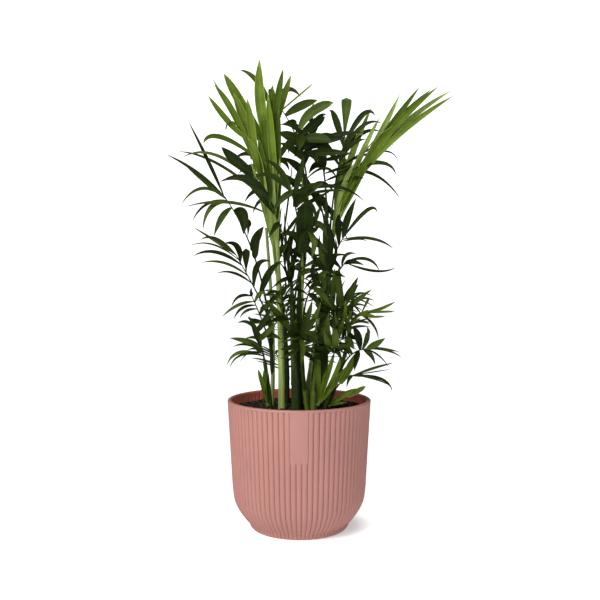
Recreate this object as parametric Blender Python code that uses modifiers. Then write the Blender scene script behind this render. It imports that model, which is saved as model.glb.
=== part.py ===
"""A parlour palm in its ribbed pot: the pot, the soil, the canes and one solid for each frond."""

import math
import random
from collections import namedtuple

import bmesh
import bpy
from mathutils import Quaternion, Vector
from mathutils.bvhtree import BVHTree

MM = 0.001
GAP = 0.3 * MM
UP = Vector((0, 0, 1))

# Pot: a reeded wall that bends in over a bowl to a small foot, with a plain panel on the front
POT_HEIGHT = 165 * MM
RIM_RADIUS = 92 * MM
LIP_WIDTH = 5.5 * MM
LIP_BAND = 2.4 * MM
WALL_FOOT_Z = 55 * MM
WALL_FOOT_RADIUS = 85 * MM
BOWL = [(83.2, 37), (78.2, 24), (70.6, 12.5), (65.0, 7)]
FOOT_RADIUS = 59 * MM
RIBS = 80
RIB_DEPTH = 1.5 * MM
PANEL_RIBS = 3
PANEL_BOTTOM = 99 * MM
PANEL_EDGE = 2.5 * MM
WALL = 3.6 * MM
FLOOR = 4.5 * MM
CAVITY_STEPS = 48

# Soil: fills the pot to just under the lip
SOIL_TOP = 154 * MM
SOIL_CROWN_RADIUS = 60 * MM
SOIL_EDGE_DROP = 2 * MM

# Frond solids: three-sided stems, and leaflets as thin blades that grow out of their side faces
LEAF_THICKNESS = 0.011
LEAST_THICKNESS = 0.9 * MM
ROOT_SPAN = 4.6 * MM
PETIOLE_RINGS = 4
STEM_RADIUS = 1.7 * MM
STEM_TIP_RADIUS = 0.95 * MM
BEND_STEPS = 10
WIDEST_AT = 0.38
SHOULDER_AT = 0.72
SHOULDER_WIDTH = 0.68
ROOT_SHARE = 0.14
CLEARANCE = 0.35 * MM
LOUVRE = 32
TRIALS = [(turn, size) for size in (1, 0.82, 0.64) for turn in (0, 9, -9, 18, -18, 28, -28)]
SWINGS = (0, 6, -6, 12, -12, 20, -20)
EARLY_REACH = 0.22
CLOSING = 1.35
OPENING_WOBBLE = 0.14
LENGTH_WOBBLE = 0.10
DROOP_WOBBLE = 0.35

# Canes: foot on the soil and top, in millimetres, with the radius at each
Cane = namedtuple("Cane", "foot top radius top_radius bow tint")
CANES = {
    "cane_left_thin": Cane((-35, 4), (-42, 0, 384), 2.8, 1.7, 4, "stalk"),
    "cane_main_stalk": Cane((-21, -17), (-29, -13, 404), 6.0, 3.9, 3, "stalk"),
    "cane_front_dark": Cane((-6, -25), (-2, -14, 300), 4.6, 2.8, -5, "sheath"),
    "cane_front_light": Cane((8, -29), (5, -24, 262), 3.6, 2.3, -3, "stalk"),
    "cane_front_broad": Cane((20, -24), (27, -20, 250), 4.6, 2.6, 3, "young"),
    "cane_right_lean": Cane((33, -14), (64, -12, 258), 3.4, 2.0, 4, "young"),
    "cane_left_shoot": Cane((-37, -12), (-43, -18, 212), 3.4, 1.9, 1, "sheath"),
    "cane_centre": Cane((-1, -3), (10, 4, 412), 4.8, 2.8, -4, "sheath"),
    "cane_right_tall": Cane((19, -2), (41, -1, 338), 3.9, 2.2, -4, "sheath"),
    "cane_spear": Cane((9, 14), (35, 5, 394), 4.2, 2.9, 5, "stalk"),
    "cane_back_left": Cane((-17, 21), (-30, 36, 346), 4.2, 2.4, 4, "sheath"),
    "cane_back_right": Cane((28, 25), (40, 42, 330), 4.0, 2.3, -3, "sheath"),
    "cane_back": Cane((2, 37), (3, 62, 268), 3.8, 2.2, -3, "sheath"),
}
CANE_RINGS = 7

# Fronds: where each leaves its cane (None at the cane's top), where its rib ends, how far it first rises, the pairs
# of leaflets, their length and width, how far the first and last pair open from the rib, how far they are raised
# into a V, how far they droop, and how far the whole blade is rolled about its rib. Lengths are in millimetres and
# angles in degrees.
Frond = namedtuple("Frond", "cane leaves tip rise bare pairs blade width opens closes lift droop roll tint")
FRONDS = {
    "frond_young_top": Frond("cane_main_stalk", None, (-46, -16, 520), 60, 0.36, 5, 94, 11.5, 24, 7, 4, 5, 88, "young"),
    "frond_young_left": Frond("cane_main_stalk", 352, (-68, -26, 508), 96, 0.44, 7, 90, 10, 62, 10, 4, 26, 84, "young"),
    "frond_behind_top": Frond("cane_centre", None, (-26, 30, 545), 70, 0.46, 5, 58, 9, 84, 52, 10, 45, 70, "dark"),
    "frond_left_high": Frond("cane_left_thin", None, (-101, -14, 434), 22, 0.42, 5, 84, 8.5, 72, 10, 8, 78, 84, "dark"),
    "frond_left_mid": Frond("cane_left_thin", 262, (-72, -34, 374), 40, 0.30, 6, 66, 7.5, 64, 26, 26, 44, 66, "dark"),
    "frond_left_small": Frond("cane_left_thin", 226, (-60, -28, 300), 30, 0.36, 5, 44, 5.5, 80, 44, 14, 62, 62, "dark"),
    "frond_left_low": Frond("cane_left_shoot", None, (-56, -28, 258), 20, 0.20, 4, 50, 8, 78, 40, 14, 48, 62, "dark"),
    "frond_centre_wide": Frond("cane_centre", 344, (-10, -74, 424), 52, 0.40, 5, 104, 13, 78, 36, 18, 46, 6, "dark"),
    "frond_centre_left": Frond("cane_front_dark", None, (-38, -56, 414), 70, 0.50, 4, 88, 13, 66, 26, 10, 36, 46, "mid"),
    "frond_crown_front": Frond("cane_centre", 392, (10, -40, 508), 78, 0.44, 6, 64, 12, 80, 36, 12, 50, -16, "dark"),
    "frond_crown_back": Frond("cane_spear", None, (18, 46, 510), 80, 0.40, 6, 66, 12, 78, 36, 12, 46, -14, "dark"),
    "frond_crown_left": Frond("cane_back_left", None, (-40, 58, 480), 82, 0.40, 6, 74, 10, 66, 26, 10, 44, 24, "dark"),
    "frond_right_high": Frond("cane_spear", 362, (58, -2, 494), 84, 0.26, 8, 80, 8, 84, 14, 10, 62, -74, "dark"),
    "frond_spear": Frond("cane_spear", 326, (138, -18, 506), 140, 0.34, 8, 108, 10, 24, 5, 62, 3, -6, "young"),
    "frond_right_mid": Frond("cane_right_tall", None, (56, -14, 372), 8, 0.46, 4, 60, 8, 72, 8, 6, 40, -80, "dark"),
    "frond_right_arch": Frond("cane_right_tall", 288, (60, -36, 342), 34, 0.40, 5, 60, 7, 66, 14, 10, 62, -38, "dark"),
    "frond_right_small": Frond("cane_right_lean", 226, (58, -34, 290), 30, 0.34, 5, 48, 8, 52, 12, 8, 22, -54, "mid"),
    "frond_right_light": Frond("cane_right_lean", None, (88, -20, 280), 16, 0.42, 4, 44, 6.5, 48, 8, 6, 34, -74, "young"),
    "frond_right_low": Frond("cane_right_lean", 196, (84, -50, 234), 34, 0.42, 5, 48, 8, 84, 22, 8, 44, -22, "dark"),
    "frond_right_lowest": Frond("cane_right_lean", 172, (76, -36, 202), 22, 0.50, 3, 56, 7, 62, 14, 6, 56, -34, "dark"),
    "frond_front_top": Frond("cane_front_dark", 276, (12, -66, 388), 54, 0.44, 5, 66, 13, 80, 34, 12, 56, -12, "dark"),
    "frond_front_high": Frond("cane_right_tall", 262, (34, -56, 330), 44, 0.44, 5, 56, 11, 76, 28, 12, 54, -16, "dark"),
    "frond_front_mid": Frond("cane_front_light", None, (22, -68, 318), 40, 0.42, 5, 54, 11, 78, 32, 12, 54, -12, "dark"),
    "frond_front_left": Frond("cane_front_dark", 232, (-24, -66, 304), 42, 0.42, 5, 54, 10, 78, 34, 12, 54, 20, "mid"),
    "frond_front_right": Frond("cane_front_broad", None, (54, -58, 284), 30, 0.38, 5, 54, 10, 78, 32, 12, 50, -20, "dark"),
    "frond_front_low": Frond("cane_front_light", 208, (0, -72, 252), 38, 0.44, 4, 52, 11, 78, 32, 10, 52, 8, "dark"),
    "frond_front_base": Frond("cane_front_broad", 196, (44, -66, 236), 30, 0.42, 5, 48, 10, 78, 28, 10, 46, -12, "dark"),
    "frond_dense_right": Frond("cane_spear", 236, (66, -8, 296), 40, 0.42, 5, 52, 10, 72, 28, 10, 46, -50, "dark"),
    "frond_dense_low": Frond("cane_right_tall", 204, (62, -44, 248), 34, 0.44, 5, 50, 10, 76, 30, 10, 46, -40, "dark"),
    "frond_shoot_spikes": Frond("cane_left_shoot", 158, (-48, -24, 180), 14, 0.50, 2, 30, 5, 16, 8, 4, 6, 60, "young"),
    "frond_low_broad": Frond("cane_front_broad", 160, (52, -32, 190), 14, 0.60, 1, 48, 10, 12, 12, 6, 10, -60, "young"),
    "frond_low_right": Frond("cane_right_lean", 158, (62, -26, 172), 6, 0.66, 1, 36, 8, 16, 16, 4, 22, -30, "young"),
    "frond_back_high": Frond("cane_spear", 374, (22, 108, 462), 66, 0.40, 6, 80, 10, 74, 26, 12, 56, 4, "dark"),
    "frond_back_young": Frond("cane_back_right", None, (44, 92, 476), 84, 0.46, 6, 90, 10, 46, 10, 6, 20, -10, "young"),
    "frond_back_left": Frond("cane_back_left", 300, (-44, 116, 404), 52, 0.40, 6, 76, 9, 72, 24, 12, 58, 8, "dark"),
    "frond_back_centre": Frond("cane_back", None, (4, 126, 366), 48, 0.38, 6, 72, 9, 72, 26, 12, 56, -6, "dark"),
    "frond_back_right": Frond("cane_back_right", 276, (58, 108, 352), 40, 0.40, 6, 60, 8.5, 70, 24, 12, 56, -14, "dark"),
    "frond_back_low_left": Frond("cane_back_left", 226, (-40, 92, 290), 34, 0.42, 5, 52, 8, 72, 28, 12, 52, 16, "mid"),
    "frond_back_low": Frond("cane_back", 212, (14, 112, 262), 32, 0.42, 5, 54, 8, 72, 28, 12, 50, 0, "dark"),
    "frond_back_low_right": Frond("cane_back_right", 206, (66, 78, 252), 30, 0.42, 5, 50, 8, 72, 28, 12, 50, -12, "dark"),
    "frond_back_base": Frond("cane_back_left", 176, (-32, 70, 216), 26, 0.46, 4, 46, 8, 70, 26, 10, 42, 10, "mid"),
}

COLOURS = {
    "clay": (0.55, 0.25, 0.20, 1),
    "soil": (0.02, 0.014, 0.01, 1),
    "stalk": (0.20, 0.33, 0.07, 1),
    "sheath": (0.06, 0.12, 0.03, 1),
    "young": (0.13, 0.23, 0.03, 1),
    "mid": (0.05, 0.11, 0.02, 1),
    "dark": (0.018, 0.045, 0.012, 1),
}


def clear_scene():
    for old in list(bpy.data.objects):
        bpy.data.objects.remove(old, do_unlink=True)


def new_collection(name):
    collection = bpy.data.collections.new(name)
    bpy.context.scene.collection.children.link(collection)
    return collection


def add_object(name, data, collection):
    made = bpy.data.objects.new(name, data)
    collection.objects.link(made)
    return made


def give_material(made, tint, roughness):
    material = bpy.data.materials.new(made.name)
    material.use_nodes = True
    shader = material.node_tree.nodes["Principled BSDF"]
    shader.inputs["Base Color"].default_value = COLOURS[tint]
    shader.inputs["Roughness"].default_value = roughness
    material.diffuse_color = COLOURS[tint]
    made.data.materials.append(material)


def turned(name, profile, steps, collection):
    """A closed solid turned about Z from (radius, height) points that run down its outer side."""
    mesh = bpy.data.meshes.new(name)
    points = [(radius, 0, height) for radius, height in profile]
    mesh.from_pydata(points, [(i, i + 1) for i in range(len(points) - 1)], [])
    made = add_object(name, mesh, collection)
    screw = made.modifiers.new("turn", "SCREW")
    screw.steps = steps
    screw.render_steps = steps
    screw.use_merge_vertices = True
    screw.merge_threshold = 0.00001
    return made


def evaluated_copy(source, name, collection):
    """The source's evaluated mesh as an object of its own. The source is removed."""
    graph = bpy.context.evaluated_depsgraph_get()
    mesh = bpy.data.meshes.new_from_object(source.evaluated_get(graph))
    bpy.data.objects.remove(source)
    mesh.name = name
    return add_object(name, mesh, collection)


# Pot

def wall_radius(height):
    """Outer radius of the straight part of the wall."""
    share = (height - WALL_FOOT_Z) / (POT_HEIGHT - WALL_FOOT_Z)
    return WALL_FOOT_RADIUS + share * (RIM_RADIUS - WALL_FOOT_RADIUS)


def outer_profile():
    heights = [POT_HEIGHT - LIP_BAND - RIB_DEPTH, PANEL_BOTTOM + PANEL_EDGE, PANEL_BOTTOM, WALL_FOOT_Z]
    profile = [(0, POT_HEIGHT), (RIM_RADIUS, POT_HEIGHT), (RIM_RADIUS, POT_HEIGHT - LIP_BAND)]
    profile += [(wall_radius(height), height) for height in heights]
    profile += [(radius * MM, height * MM) for radius, height in BOWL]
    return profile + [(FOOT_RADIUS, 0), (0, 0)]


def cavity_profile(inset, top):
    """Outline of the inside of the pot, drawn in by inset from the pot's own inner face."""
    wall = WALL + inset
    profile = [(0, top), (RIM_RADIUS - LIP_WIDTH - inset, top)]
    profile.append((WALL_FOOT_RADIUS - wall, WALL_FOOT_Z))
    profile += [(radius * MM - wall, height * MM + WALL / 3) for radius, height in BOWL[:2]]
    profile.append((BOWL[-1][0] * MM - 2 * wall, FLOOR + inset))
    return profile + [(0, FLOOR + inset)]


def rib_cut(angle, height):
    """How deep the surface lies at a column between two ribs."""
    column = round(angle / math.tau * 2 * RIBS)
    from_front = abs(math.remainder(angle + math.pi / 2, math.tau)) * RIBS / math.tau
    on_panel = from_front < PANEL_RIBS / 2 - 0.1 and height > PANEL_BOTTOM + PANEL_EDGE / 2
    on_lip = height > POT_HEIGHT - LIP_BAND - RIB_DEPTH / 2
    if column % 2 == 0 or on_panel or on_lip:
        return 0
    return RIB_DEPTH


def make_pot(collection, cutters):
    blank = turned("pot_blank", outer_profile(), 2 * RIBS, collection)
    pot = evaluated_copy(blank, "pot", collection)
    for vertex in pot.data.vertices:
        flat = Vector(vertex.co[:2])
        if flat.length < FOOT_RADIUS / 2:
            continue
        flat *= 1 - rib_cut(math.atan2(flat.y, flat.x), vertex.co.z) / flat.length
        vertex.co[:2] = flat
    cavity = turned("pot_cavity", cavity_profile(0, POT_HEIGHT + WALL), CAVITY_STEPS, cutters)
    cavity = evaluated_copy(cavity, "pot_cavity", cutters)
    cavity.hide_render = True
    cavity.display_type = "WIRE"
    cut = pot.modifiers.new("hollow", "BOOLEAN")
    cut.operation = "DIFFERENCE"
    cut.object = cavity
    pot.data.set_sharp_from_angle(angle=math.radians(40))
    give_material(pot, "clay", 0.55)
    return pot


def make_soil(collection):
    outline = cavity_profile(GAP, SOIL_TOP)
    at_top = (SOIL_TOP - WALL_FOOT_Z) / (POT_HEIGHT + WALL - WALL_FOOT_Z)
    foot = WALL_FOOT_RADIUS - WALL - GAP
    edge = foot + at_top * (RIM_RADIUS - LIP_WIDTH - GAP - foot)
    top = [(0, SOIL_TOP), (SOIL_CROWN_RADIUS, SOIL_TOP), (edge - GAP, SOIL_TOP - SOIL_EDGE_DROP)]
    soil = turned("soil", top + outline[2:], CAVITY_STEPS, collection)
    give_material(soil, "soil", 0.95)
    return soil


# Canes

def cane_point(cane, height):
    """Centre of the cane at a height: it leans from foot to top and bows sideways between them."""
    foot = Vector((cane.foot[0] * MM, cane.foot[1] * MM, SOIL_TOP + GAP))
    top = Vector(cane.top) * MM
    share = (height - foot.z) / (top.z - foot.z)
    eased = share * share * (3 - 2 * share) * 0.5 + share * 0.5
    point = foot.lerp(top, eased)
    point.x += cane.bow * MM * math.sin(math.pi * share)
    point.z = height
    return point


def cane_lean(cane):
    """Direction in which the cane's last stretch points."""
    top = cane.top[2] * MM
    last = (top - SOIL_TOP - GAP) / (CANE_RINGS - 1)
    return (cane_point(cane, top) - cane_point(cane, top - last)).normalized()


def cane_radius(cane, height):
    share = (height - SOIL_TOP) / (cane.top[2] * MM - SOIL_TOP)
    return (cane.radius + share * (cane.top_radius - cane.radius)) * MM


def make_cane(name, cane, collection):
    low = SOIL_TOP + GAP
    high = cane.top[2] * MM
    heights = [low + (high - low) * i / (CANE_RINGS - 1) for i in range(CANE_RINGS)]
    heights.insert(1, low + 3 * MM)
    curve = bpy.data.curves.new(name, "CURVE")
    curve.dimensions = "3D"
    curve.bevel_depth = 1
    curve.bevel_resolution = 2
    curve.use_fill_caps = True
    line = curve.splines.new("POLY")
    line.points.add(len(heights) - 1)
    for point, height in zip(line.points, heights):
        centre = cane_point(cane, max(height, low) if height > heights[1] else low)
        point.co = (centre.x, centre.y, height, 1)
        point.radius = cane_radius(cane, height)
    made = add_object(name, curve, collection)
    give_material(made, cane.tint, 0.5)
    return made


# Fronds

Station = namedtuple("Station", "centre along side face radius share")


def frond_path(frond, swing, reach):
    """Three points that steer the rib: its foot on the cane, the point it rises towards, and its end."""
    cane = CANES[frond.cane]
    tip = Vector(frond.tip) * MM
    if frond.leaves is None:
        lean = cane_lean(cane)
        foot = cane_point(cane, cane.top[2] * MM) + lean * (GAP + CLEARANCE)
        return foot, foot + lean * frond.rise * MM, tip
    height = frond.leaves * MM
    centre = cane_point(cane, height)
    out = Vector((tip.x - centre.x, tip.y - centre.y, 0))
    out.rotate(about(UP, swing))
    foot = centre + out.normalized() * (cane_radius(cane, height) + GAP + reach)
    return foot, foot + UP * frond.rise * MM + out * EARLY_REACH, tip


def about(axis, degrees):
    return Quaternion(axis, math.radians(degrees))


def frond_stations(frond, swing):
    """Stations along the rib. The foot's nearest corner lies against the cane."""
    stations = stations_along(frond, frond_path(frond, swing, STEM_RADIUS))
    foot = stations[0]
    inward = cane_point(CANES[frond.cane], foot.centre.z) - foot.centre
    inward.normalize()
    reach = max((corner - foot.centre).dot(inward) for corner in stem_ring(foot, foot.radius))
    return stations_along(frond, frond_path(frond, swing, reach))


def stations_along(frond, path):
    """A few stations up the bare stalk, then two for each pair of leaflets."""
    foot, middle, tip = path
    heading = math.atan2(tip.y - foot.y, tip.x - foot.x)
    level = Vector((math.sin(heading), -math.cos(heading), 0))
    length = (middle - foot).length + (tip - middle).length
    half = ROOT_SPAN / 2 / length
    shares = [frond.bare * i / PETIOLE_RINGS for i in range(PETIOLE_RINGS)]
    for pair in pair_shares(frond):
        shares += [pair - half, pair + half]
    stations = []
    for share in shares:
        centre = foot * (1 - share) ** 2 + middle * 2 * share * (1 - share) + tip * share**2
        along = ((middle - foot) * (1 - share) + (tip - middle) * share).normalized()
        side = (level - along * level.dot(along)).normalized()
        side.rotate(about(along, frond.roll))
        face = side.cross(along)
        radius = STEM_RADIUS + (STEM_TIP_RADIUS - STEM_RADIUS) * share
        stations.append(Station(centre, along, side, face, radius, share))
    return stations


def pair_shares(frond):
    """Where along the rib each pair of leaflets grows."""
    if frond.pairs == 1:
        return [0.97]
    spread = 0.97 - frond.bare
    return [frond.bare + spread * i / (frond.pairs - 1) for i in range(frond.pairs)]


Blade = namedtuple("Blade", "root start across length width bend hand")


def leaf_blade(frond, station, rank, hand, turn, size, wobble):
    """One leaflet's root, directions and sizes. rank runs from 0 to 1 along the rib, and turn and size make room."""
    opening = frond.closes + (frond.opens - frond.closes) * (1 - rank) ** CLOSING
    opening = math.radians(opening * (1 + OPENING_WOBBLE * wobble[0]))
    lift = math.radians(frond.lift)
    outward = station.side * hand * math.cos(lift) + station.face * math.sin(lift)
    start = station.along * math.cos(opening) + outward * math.sin(opening)
    across = (station.along - start * station.along.dot(start)).normalized()
    across.rotate(about(start, hand * (turn - LOUVRE)))
    length = frond.blade * MM * (0.66 + 0.34 * math.sin(math.pi * (0.2 + 0.7 * rank)))
    length *= size * (1 + LENGTH_WOBBLE * wobble[1])
    bend = math.radians(frond.droop) * math.hypot(start.x, start.y) * (1 + DROOP_WOBBLE * wobble[2])
    return Blade(station.centre, start, across, length, frond.width * MM * size, bend, hand)


def blade_point(blade, share):
    """Centre, direction and width direction of a leaflet at a share of its length."""
    centre = blade.root.copy()
    direction = blade.start.copy()
    axis = blade.start.cross(-UP)
    steps = max(1, round(share * BEND_STEPS))
    for step in range(steps):
        turned_by = math.degrees(blade.bend) * ((step + 0.5) / BEND_STEPS) ** 1.2
        direction = blade.start.copy()
        if axis.length > 1e-4:
            direction.rotate(about(axis.normalized(), turned_by))
        centre += direction * blade.length * share / steps
    across = (blade.across - direction * blade.across.dot(direction)).normalized()
    return centre, direction, across


def blade_ring(blade, share, width, extra):
    """Four corners of the leaflet's thin section: lower back, upper back, upper front and lower front."""
    centre, direction, across = blade_point(blade, share)
    normal = direction.cross(across) * blade.hand
    half_width = across * (width / 2 + extra)
    thickness = max(LEAST_THICKNESS, blade.length * LEAF_THICKNESS)
    half_depth = normal * (thickness / 2 + extra)
    return {
        (-1, -1): centre - half_width - half_depth,
        (1, -1): centre + half_width - half_depth,
        (1, 1): centre + half_width + half_depth,
        (-1, 1): centre - half_width + half_depth,
    }


def blade_rings(blade, extra=0.0):
    return [
        blade_ring(blade, WIDEST_AT, blade.width, extra),
        blade_ring(blade, SHOULDER_AT, blade.width * SHOULDER_WIDTH, extra),
    ]


CORNERS = [(-1, -1), (1, -1), (1, 1), (-1, 1)]


def blade_tree(blade, first):
    """A search tree over the leaflet from a share of its length on, grown by the clearance."""
    start = blade_ring(blade, first, blade.width * (0.5 + first), CLEARANCE)
    rings = [start] + blade_rings(blade, CLEARANCE)
    points = [ring[corner] for ring in rings for corner in CORNERS]
    points.append(blade_point(blade, 1)[0] + blade.start * CLEARANCE)
    faces = [(0, 1, 2, 3)]
    for ring in range(len(rings) - 1):
        for i in range(4):
            low = ring * 4
            faces.append((low + i, low + (i + 1) % 4, low + 4 + (i + 1) % 4, low + 4 + i))
    last = (len(rings) - 1) * 4
    faces += [(last + i, last + (i + 1) % 4, len(points) - 1) for i in range(4)]
    return BVHTree.FromPolygons(points, faces)


def tube_tree(stations, extra):
    """A search tree over a three-sided stem grown by an extra radius."""
    points = []
    for station in stations:
        points += stem_ring(station, station.radius + extra)
    faces = [(0, 1, 2), (len(points) - 3, len(points) - 2, len(points) - 1)]
    for ring in range(len(stations) - 1):
        for i in range(3):
            low = ring * 3
            faces.append((low + i, low + (i + 1) % 3, low + 3 + (i + 1) % 3, low + 3 + i))
    return BVHTree.FromPolygons(points, faces)


def stem_ring(station, radius):
    """Three corners of the stem: its ridge on the upper face, then its two edges."""
    ridge = station.centre + station.face * radius
    half = station.side * radius * math.cos(math.radians(30))
    back = station.centre - station.face * radius * 0.5
    return [ridge, back + half, back - half]


def nearest(vertices, place):
    return min(vertices, key=lambda vertex: (vertex.co - place).length)


def grow_stem(bm, stations):
    """The three-sided stem, pushed up ring by ring from its foot. It returns each step's faces by hand."""
    foot = bm.faces.new([bm.verts.new(point) for point in stem_ring(stations[0], stations[0].radius)])
    rings = [list(foot.verts)]
    end = foot
    for station in stations[1:]:
        end = bmesh.ops.extrude_discrete_faces(bm, faces=[end])["faces"][0]
        ring = [nearest(end.verts, old.co) for old in rings[-1]]
        for vertex, point in zip(ring, stem_ring(station, station.radius)):
            vertex.co = point
        rings.append(ring)
    bm.faces.new(reversed(rings[0]))
    return rings


def side_face(lower, upper, hand):
    """The stem's face between two rings on one hand."""
    edge = 1 if hand > 0 else 2
    wanted = {lower[0], lower[edge], upper[0], upper[edge]}
    for face in lower[0].link_faces:
        if set(face.verts) == wanted:
            return face
    return None


def grow_leaflet(bm, lower, upper, hand, blade):
    """A leaflet pushed out of the stem's side face in two steps and drawn to a point."""
    face = side_face(lower, upper, hand)
    edge = 1 if hand > 0 else 2
    labels = {lower[0]: (-1, 1), lower[edge]: (-1, -1), upper[0]: (1, 1), upper[edge]: (1, -1)}
    for ring in blade_rings(blade):
        face = bmesh.ops.extrude_discrete_faces(bm, faces=[face])["faces"][0]
        labels = {vertex: labels[nearest(labels, vertex.co)] for vertex in face.verts}
        for vertex, corner in labels.items():
            vertex.co = ring[corner]
    face = bmesh.ops.extrude_discrete_faces(bm, faces=[face])["faces"][0]
    bmesh.ops.pointmerge(bm, verts=list(face.verts), merge_co=blade_point(blade, 1)[0])


def clear_of(tree, obstacles):
    return not any(tree.overlap(other) for other in obstacles)


def place_stems(solids):
    """A route for each frond's rib that touches nothing placed before it."""
    routes = {}
    trees = {}
    for name, frond in FRONDS.items():
        for swing in SWINGS:
            stations = frond_stations(frond, swing)
            tree = tube_tree(stations, CLEARANCE / 2)
            if clear_of(tree, solids) and clear_of(tree, trees.values()):
                break
        else:
            print("no clear route for", name)
        routes[name] = stations
        trees[name] = tree
    return routes, trees


def place_leaflets(routes, trees, solids):
    """For each frond the leaflets that find room, each turned a little where it must be."""
    placed = {name: [] for name in FRONDS}
    leaf_trees = []
    for name, frond in FRONDS.items():
        stations = routes[name]
        others = [tree for other, tree in trees.items() if other != name]
        own = []
        for pair in range(frond.pairs):
            rank = pair / max(1, frond.pairs - 1)
            ring = PETIOLE_RINGS + 2 * pair
            low, high = stations[ring], stations[ring + 1]
            middle = low._replace(centre=(low.centre + high.centre) / 2)
            for hand in (1, -1):
                chance = random.Random(f"{name} {pair} {hand}")
                wobble = [chance.uniform(-1, 1) for _ in range(3)]
                for turn, size in TRIALS:
                    blade = leaf_blade(frond, middle, rank, hand, turn, size, wobble)
                    whole = blade_tree(blade, 0)
                    free = blade_tree(blade, ROOT_SHARE)
                    if clear_of(whole, others + solids + leaf_trees) and clear_of(free, [trees[name]] + own):
                        placed[name].append((pair, hand, blade))
                        own.append(whole)
                        break
        leaf_trees += own
    print("leaflets", sum(len(found) for found in placed.values()))
    return placed


def make_frond(name, stations, leaflets, collection):
    bm = bmesh.new()
    rings = grow_stem(bm, stations)
    for pair, hand, blade in leaflets:
        ring = PETIOLE_RINGS + 2 * pair
        grow_leaflet(bm, rings[ring], rings[ring + 1], hand, blade)
    bmesh.ops.triangulate(bm, faces=bm.faces)
    mesh = bpy.data.meshes.new(name)
    bm.to_mesh(mesh)
    bm.free()
    made = add_object(name, mesh, collection)
    give_material(made, FRONDS[name].tint, 0.45)
    return made


def main():
    clear_scene()
    palm = new_collection("parlour_palm")
    cutters = new_collection("cutters")
    pot = make_pot(palm, cutters)
    soil = make_soil(palm)
    canes = [make_cane(name, cane, palm) for name, cane in CANES.items()]
    bpy.context.view_layer.update()
    graph = bpy.context.evaluated_depsgraph_get()
    solids = []
    for made in [pot, soil] + canes:
        shape = bpy.data.meshes.new_from_object(made.evaluated_get(graph))
        points = [vertex.co.copy() for vertex in shape.vertices]
        solids.append(BVHTree.FromPolygons(points, [tuple(face.vertices) for face in shape.polygons]))
        bpy.data.meshes.remove(shape)
    routes, trees = place_stems(solids)
    leaflets = place_leaflets(routes, trees, solids)
    for name in FRONDS:
        make_frond(name, routes[name], leaflets[name], palm)


main()
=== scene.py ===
import math
import random
from collections import namedtuple

import bpy
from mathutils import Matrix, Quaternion, Vector, noise


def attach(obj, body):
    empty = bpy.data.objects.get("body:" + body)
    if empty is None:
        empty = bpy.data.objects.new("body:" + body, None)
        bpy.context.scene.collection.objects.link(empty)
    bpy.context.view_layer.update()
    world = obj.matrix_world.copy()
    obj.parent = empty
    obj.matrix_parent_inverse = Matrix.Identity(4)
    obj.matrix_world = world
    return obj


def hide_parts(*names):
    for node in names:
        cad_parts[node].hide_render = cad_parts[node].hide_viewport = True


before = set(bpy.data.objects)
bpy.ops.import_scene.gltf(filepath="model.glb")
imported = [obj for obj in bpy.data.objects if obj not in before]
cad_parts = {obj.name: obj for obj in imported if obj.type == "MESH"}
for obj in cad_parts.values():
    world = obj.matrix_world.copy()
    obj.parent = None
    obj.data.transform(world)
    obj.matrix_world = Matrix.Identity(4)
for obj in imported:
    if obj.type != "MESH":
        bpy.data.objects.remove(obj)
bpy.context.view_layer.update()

MM = 0.001
UP = Vector((0, 0, 1))

# Camera: fitted to the pot's rim and foot in the photograph. Its place is in metres, its pitch in degrees,
# and its lens and sensor in millimetres.
CAMERA_PLACE = (0, -1.025, 0.329)
CAMERA_PITCH = 2.08
CAMERA_LENS = 48
CAMERA_SENSOR = 36
CAMERA_SHIFT = 0.0015

# Light: a large soft lamp at the upper left, a weak one in front, and a pale room. The floor glows less in a
# round patch just right of the pot's middle: a painted shadow that deepens the pot's rendered soft shadow.
# Places and sizes are in metres.
KEY_PLACE = (-1.5, -1.7, 2.1)
KEY_SIZE = 1.5
KEY_POWER = 74
FILL_PLACE = (0.7, -2.2, 1.3)
FILL_SIZE = 1.6
FILL_POWER = 12
LIGHT_TARGET = Vector((0, 0, 0.3))
ROOM_LIGHT = 0.32
FLOOR_SIZE = 12
FLOOR_COLOUR = (0.68, 0.70, 0.71)
FLOOR_GLOW = 0.80
SHADOW_GLOW = 0.34
SHADOW_CENTRE = (0.022, 0.006, 0)
SHADOW_START = 0.046
SHADOW_END = 0.078
BACKDROP_RADIUS = 7
BACKDROP_ROWS = 13
BACKDROP_COLUMNS = 32
BACKDROP_COLOUR = (0.5, 0.5, 0.5)
BACKDROP_GLOW = 1.0
STAGE_ROUGHNESS = 0.9

# Pot: the source's sizes, but for deeper ribs, a wall 0.8 mm wider at its foot, and a rounder bowl and foot
POT_HEIGHT = 165 * MM
RIM_RADIUS = 92 * MM
LIP_WIDTH = 5.5 * MM
LIP_BAND = 2.4 * MM
WALL_FOOT_Z = 55 * MM
WALL_FOOT_RADIUS = 85.8 * MM
WALL = 3.6 * MM
INNER_MARGIN = 0.5 * MM
SHARP_ANGLE = 50

# The pot's outline as (radius, height) in millimetres. The lip's is counted outwards from its inner edge and
# from the height of the pot.
CAVITY = [(0, 4.5), (50, 4.5), (57, 4.5), (66, 14), (76, 28)]
LIP_ROUND = [(0, -1.8), (0.35, -0.75), (1.3, -0.12), (2.7, 0), (4.1, -0.2), (5.1, -0.85), (5.5, -1.8)]
BOWL = [(83.4, 37), (77.4, 24), (69.0, 12.5), (64.6, 8.2)]
BOWL_STEPS = 4
FOOT = [(64.1, 7.2), (64.0, 5.4), (63.0, 2.9), (61.0, 0.9)]
FOOT_EDGE = (58.0, 0)
UNDERSIDE = [(54, 0), (53, 0.8), (0, 0.8)]

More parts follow.
